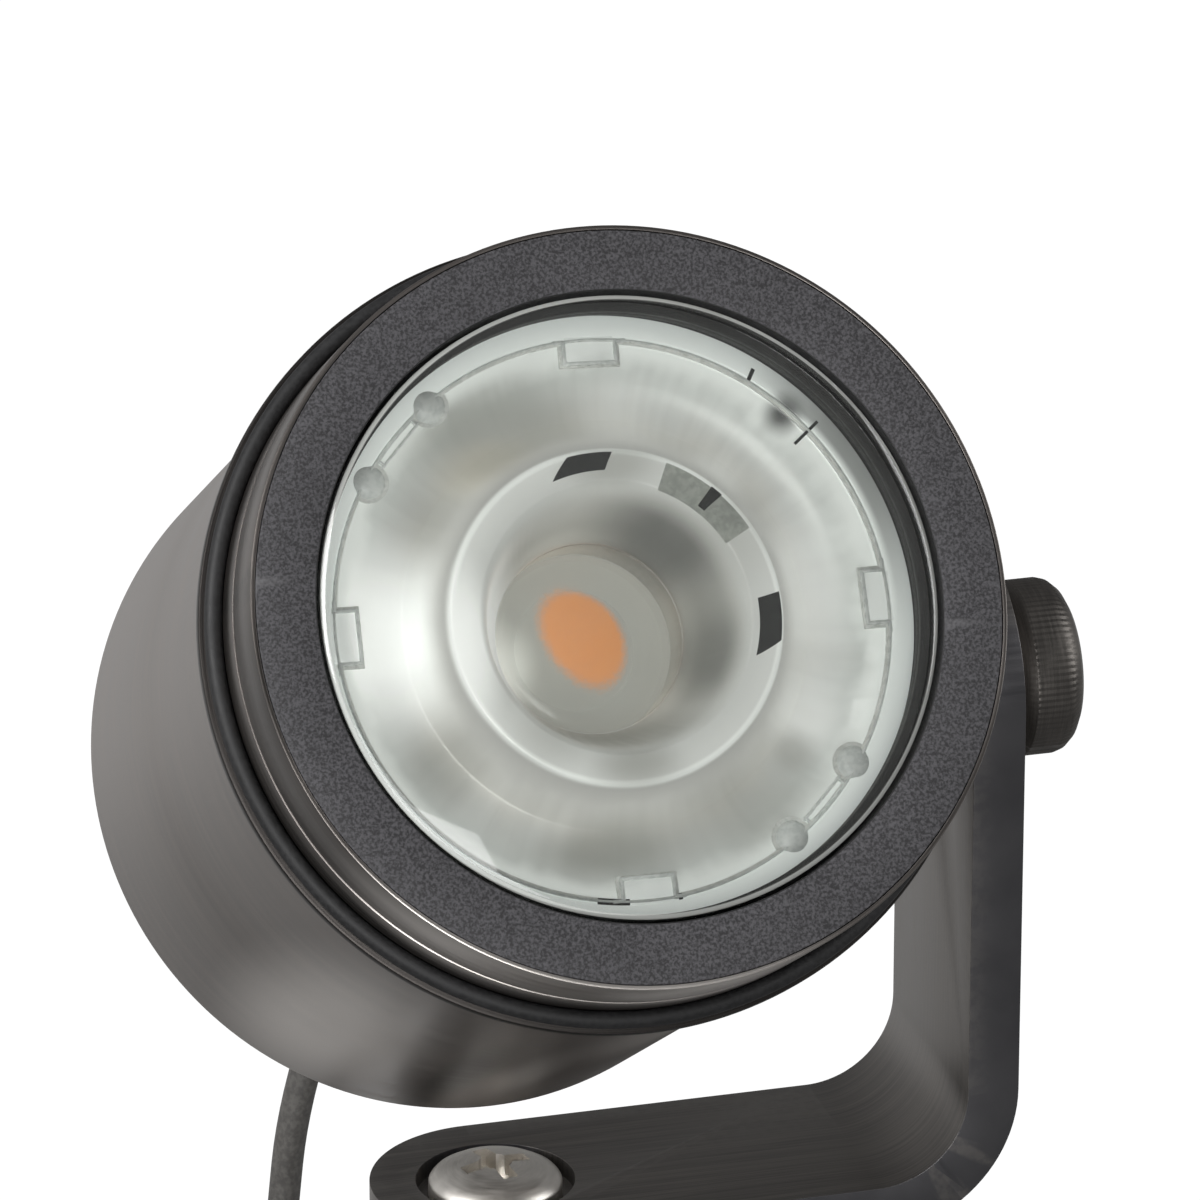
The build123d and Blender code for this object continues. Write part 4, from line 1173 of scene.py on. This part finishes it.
def hexagon(name, across, front, back, edge=0.4):
    """A hexagonal block with eased edges, given its size across flats."""
    radius = across / math.sqrt(3)
    piece = post(name, radius, PIVOT_DEPTH - back, PIVOT_DEPTH - front, 6)
    ease_edges(piece, edge, 2)
    return piece


def make_gland_hex():
    body = hexagon("gland_hex", 16.0, HEAD_BACK + 0.8, HEAD_BACK + 4.8)
    rim = turned("rim", in_head([(0, HEAD_BACK + 0.8), (8.9, HEAD_BACK + 0.8), (9.0, HEAD_BACK + 4.2),
                                 (8.2, HEAD_BACK + 4.8), (0, HEAD_BACK + 4.8)]), 96)
    combine(body, rim, "INTERSECT")
    combine(body, post("bore", CABLE_BORE, -40, 0, 48))
    return settle(ease_edges(body, 0.15, 2), to_head)


def make_gland_cap():
    start = HEAD_BACK + 4.8
    cap = hexagon("gland_cap", 14.0, start, start + 8, 0.5)
    cone = turned("cone", in_head([(0, start + 7.5), (6.9, start + 7.5), (6.9, start + 8.2),
                                   (5.9, start + 10.4), (4.8, start + 11.5), (0, start + 11.5)]), 96)
    combine(cap, cone, "UNION")
    groove = turned("groove", in_head([(6.6, start + 0.4), (9, start + 0.4), (9, start + 1.0),
                                       (6.6, start + 1.0)]), 96)
    combine(cap, groove)
    combine(cap, post("bore", CABLE_BORE, -50, 0, 48))
    return settle(ease_edges(cap, 0.15, 2), to_head)


dress(make_gland_hex(), gland_metal, "head", "neck_metal", "gland_body")
dress(make_gland_cap(), gland_metal, "head", "neck_metal", "gland_nut")

boot_front = HEAD_BACK + 16.3
strain_relief = head_turned("strain_relief", [
    (CABLE_BORE, boot_front), *ribbed(boot_front, boot_front + 8.2, 4.1, 2.95, 5, 0.35),
    (2.85, boot_front + 8.7), (CABLE_BORE, boot_front + 8.7)], 0.1, 64)
dress(strain_relief, rubber, "head", "seal_rubber", "cable_boot")


# Stake: spike, ground plate, tube and top

def make_spike():
    """Four tapered fins round a core, under a collar."""
    fin = block("fin", (44, 3, 26), (0, 0, -21))
    edit_all(fin)
    select_faces(fin, lambda face: face.normal.z < -0.9)
    bpy.ops.mesh.extrude_region_move(TRANSFORM_OT_translate={"value": (0, 0, -131 * MM)})
    bpy.ops.transform.resize(value=(0.045, 0.4, 1), center_override=(0, 0, 0))
    bpy.ops.object.mode_set(mode="OBJECT")
    other = copy_of(fin, "fin", Matrix.Rotation(math.pi / 2, 4, "Z"))
    core = turned("core", [(0, -165), (0.8, -163), (3.0, -120), (5.5, -20), (5.5, -8), (0, -8)], 32)
    collar = turned("collar", [(0, -8), (13.2, -8), (14, -7.2), (14, 1), (9.4, 1), (9.4, 21), (8.4, 22),
                               (0, 22)], 96)
    for piece in (other, core, collar):
        combine(fin, piece, "UNION")
    take(fin)
    return ease_edges(named("ground_spike"), 0.35, 2, 40)


ground_spike = make_spike()
dress(ground_spike, stake_plastic, "stake", "stake_plastic", "spike")

ground_plate = turned("ground_plate", [
    (14.05, 0), (37.4, 0), (38, 0.6), (38, 2.0), (37, 3.0), (36, 3.0), (35.6, 2.6), (34.4, 2.6),
    (34.0, 3.0), (11.6, 3.0), (11.0, 2.9), (9.5, 2.9), (9.5, 1.0), (14.05, 1.0)], 160)
ease_edges(ground_plate, 0.2, 2)
dress(ground_plate, stake_plastic, "stake", "stake_plastic", "ground_flange")

neck_top = 56.0
stake_tube = turned("stake_tube", [(9.5, 3.0), (10.7, 3.0), (11, 3.3), (11, neck_top - 0.3),
                                   (10.7, neck_top), (9.5, neck_top)], 128)
smooth(stake_tube)
for turn in (45, 135, 225, 315):
    grub_hole = (Matrix.Translation((0, 0, 12 * MM)) @ Matrix.Rotation(math.radians(turn), 4, "Z")
                 @ Matrix.Rotation(math.pi / 2, 4, "Y"))
    combine(stake_tube, settle(post("hole", 2.05, 0, 30, 32), grub_hole))
dress(smooth(stake_tube), neck_brushed, "stake", "neck_metal", "neck_tube")

stake_top = turned("stake_top", [
    (6.02, 40), (9.48, 40), (9.48, neck_top), (12.1, neck_top), (12.5, neck_top + 0.4),
    (12.5, neck_top + 3.1), (12.1, neck_top + 3.5), (6.02, neck_top + 3.5)], 128)
dress(ease_edges(stake_top, 0.15, 2), neck_brushed, "stake", "neck_metal", "stake_cap")


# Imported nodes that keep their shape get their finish

NODE_FINISHES = {
    "grub_screws": plain_steel, "threaded_insert": brass, "base_washer": plain_steel,
    "knob_washer": plain_steel, "cable_ties": rubber, "plug_contacts": brass,
    "pivot_boss": collar_brushed, "friction_washer": black_plastic, "pivot_pad": plain_steel,
    "pivot_stud": plain_steel, "lens_holder": deep_black, "led_board": board_mask,
    "led_board_screws": plain_steel, "heat_sink": sink_metal, "heat_sink_screws": plain_steel,
    "led_wires": wire_cover, "board_pillars": brass, "driver_board": board_mask,
    "driver_screws": plain_steel, "driver_parts": black_plastic, "supply_wires": wire_cover,
    "cable_inner": cable_cover, "gland_seal": rubber, "knob_insert": brass}
for name, finish in NODE_FINISHES.items():
    part = frame["nodes"][name]
    if not part.data.materials:
        part.data.materials.append(finish)
    for place in range(len(part.data.materials)):
        part.data.materials[place] = finish


# Studio

def make_world():
    """White to the camera, and a dim room that is lighter on the left to everything else."""
    world = bpy.data.worlds.new("studio")
    bpy.context.scene.world = world
    world.use_nodes = True
    tree = world.node_tree
    way = node(tree, "ShaderNodeTexCoord").outputs["Generated"]
    side = node(tree, "ShaderNodeSeparateXYZ", Vector=way).outputs["X"]
    room = grey(tree, spread(tree, side, 0.1, -0.9, 0.17, 0.44))
    seen = node(tree, "ShaderNodeLightPath").outputs["Is Camera Ray"]
    background = tree.nodes["Background"]
    wire(tree, background.inputs["Color"], blend_colours(tree, seen, room, (1, 1, 1, 1)))
    background.inputs["Strength"].default_value = 1.0


def make_floor():
    """White to the camera. Polished pieces see it dark close by and lighter far behind."""
    ground = cad_bounds[0][2]
    deselect()
    bpy.ops.mesh.primitive_plane_add(size=8, location=(0, 0, ground))
    floor = named("floor")
    material, tree, shader = new_finish("floor_white", 0.7)
    here = node(tree, "ShaderNodeTexCoord").outputs["Object"]
    tone = spread(tree, noise(tree, here, 1.5, 2.0), 0.3, 0.7, 0.80, 0.84)
    wire(tree, shader.inputs["Base Color"], grey(tree, tone))
    shine = node(tree, "ShaderNodeEmission")
    shine.inputs["Strength"].default_value = 1.1
    plain = mix_shaders(tree, 0.92, shader, shine)
    behind = node(tree, "ShaderNodeSeparateXYZ", Vector=here).outputs["Y"]
    level = spread(tree, behind, 0.12, 0.75, 0.2, 0.6)
    blob = mask_spot(tree, here, (0.06, 0.27, ground), (0.07, 0.16, 1.0))
    level = maths(tree, "MULTIPLY_ADD", blob, 0.5, level)
    mirrored = node(tree, "ShaderNodeEmission", Color=grey(tree, level))
    seen = node(tree, "ShaderNodeLightPath").outputs["Is Camera Ray"]
    whole = mix_shaders(tree, seen, mirrored, plain)
    tree.links.new(whole.outputs[0], tree.nodes["Material Output"].inputs["Surface"])
    floor.data.materials.append(material)


make_world()
make_floor()
softbox("key", (-1.36, -0.6, 1.05), 0.9, 0.9, 27)
softbox("front", (-0.5, -1.45, 0.3), 0.9, 0.7, 10)
softbox("right", (1.3, -0.3, 0.5), 0.5, 0.9, 7)
bpy.context.scene.view_settings.view_transform = "Standard"
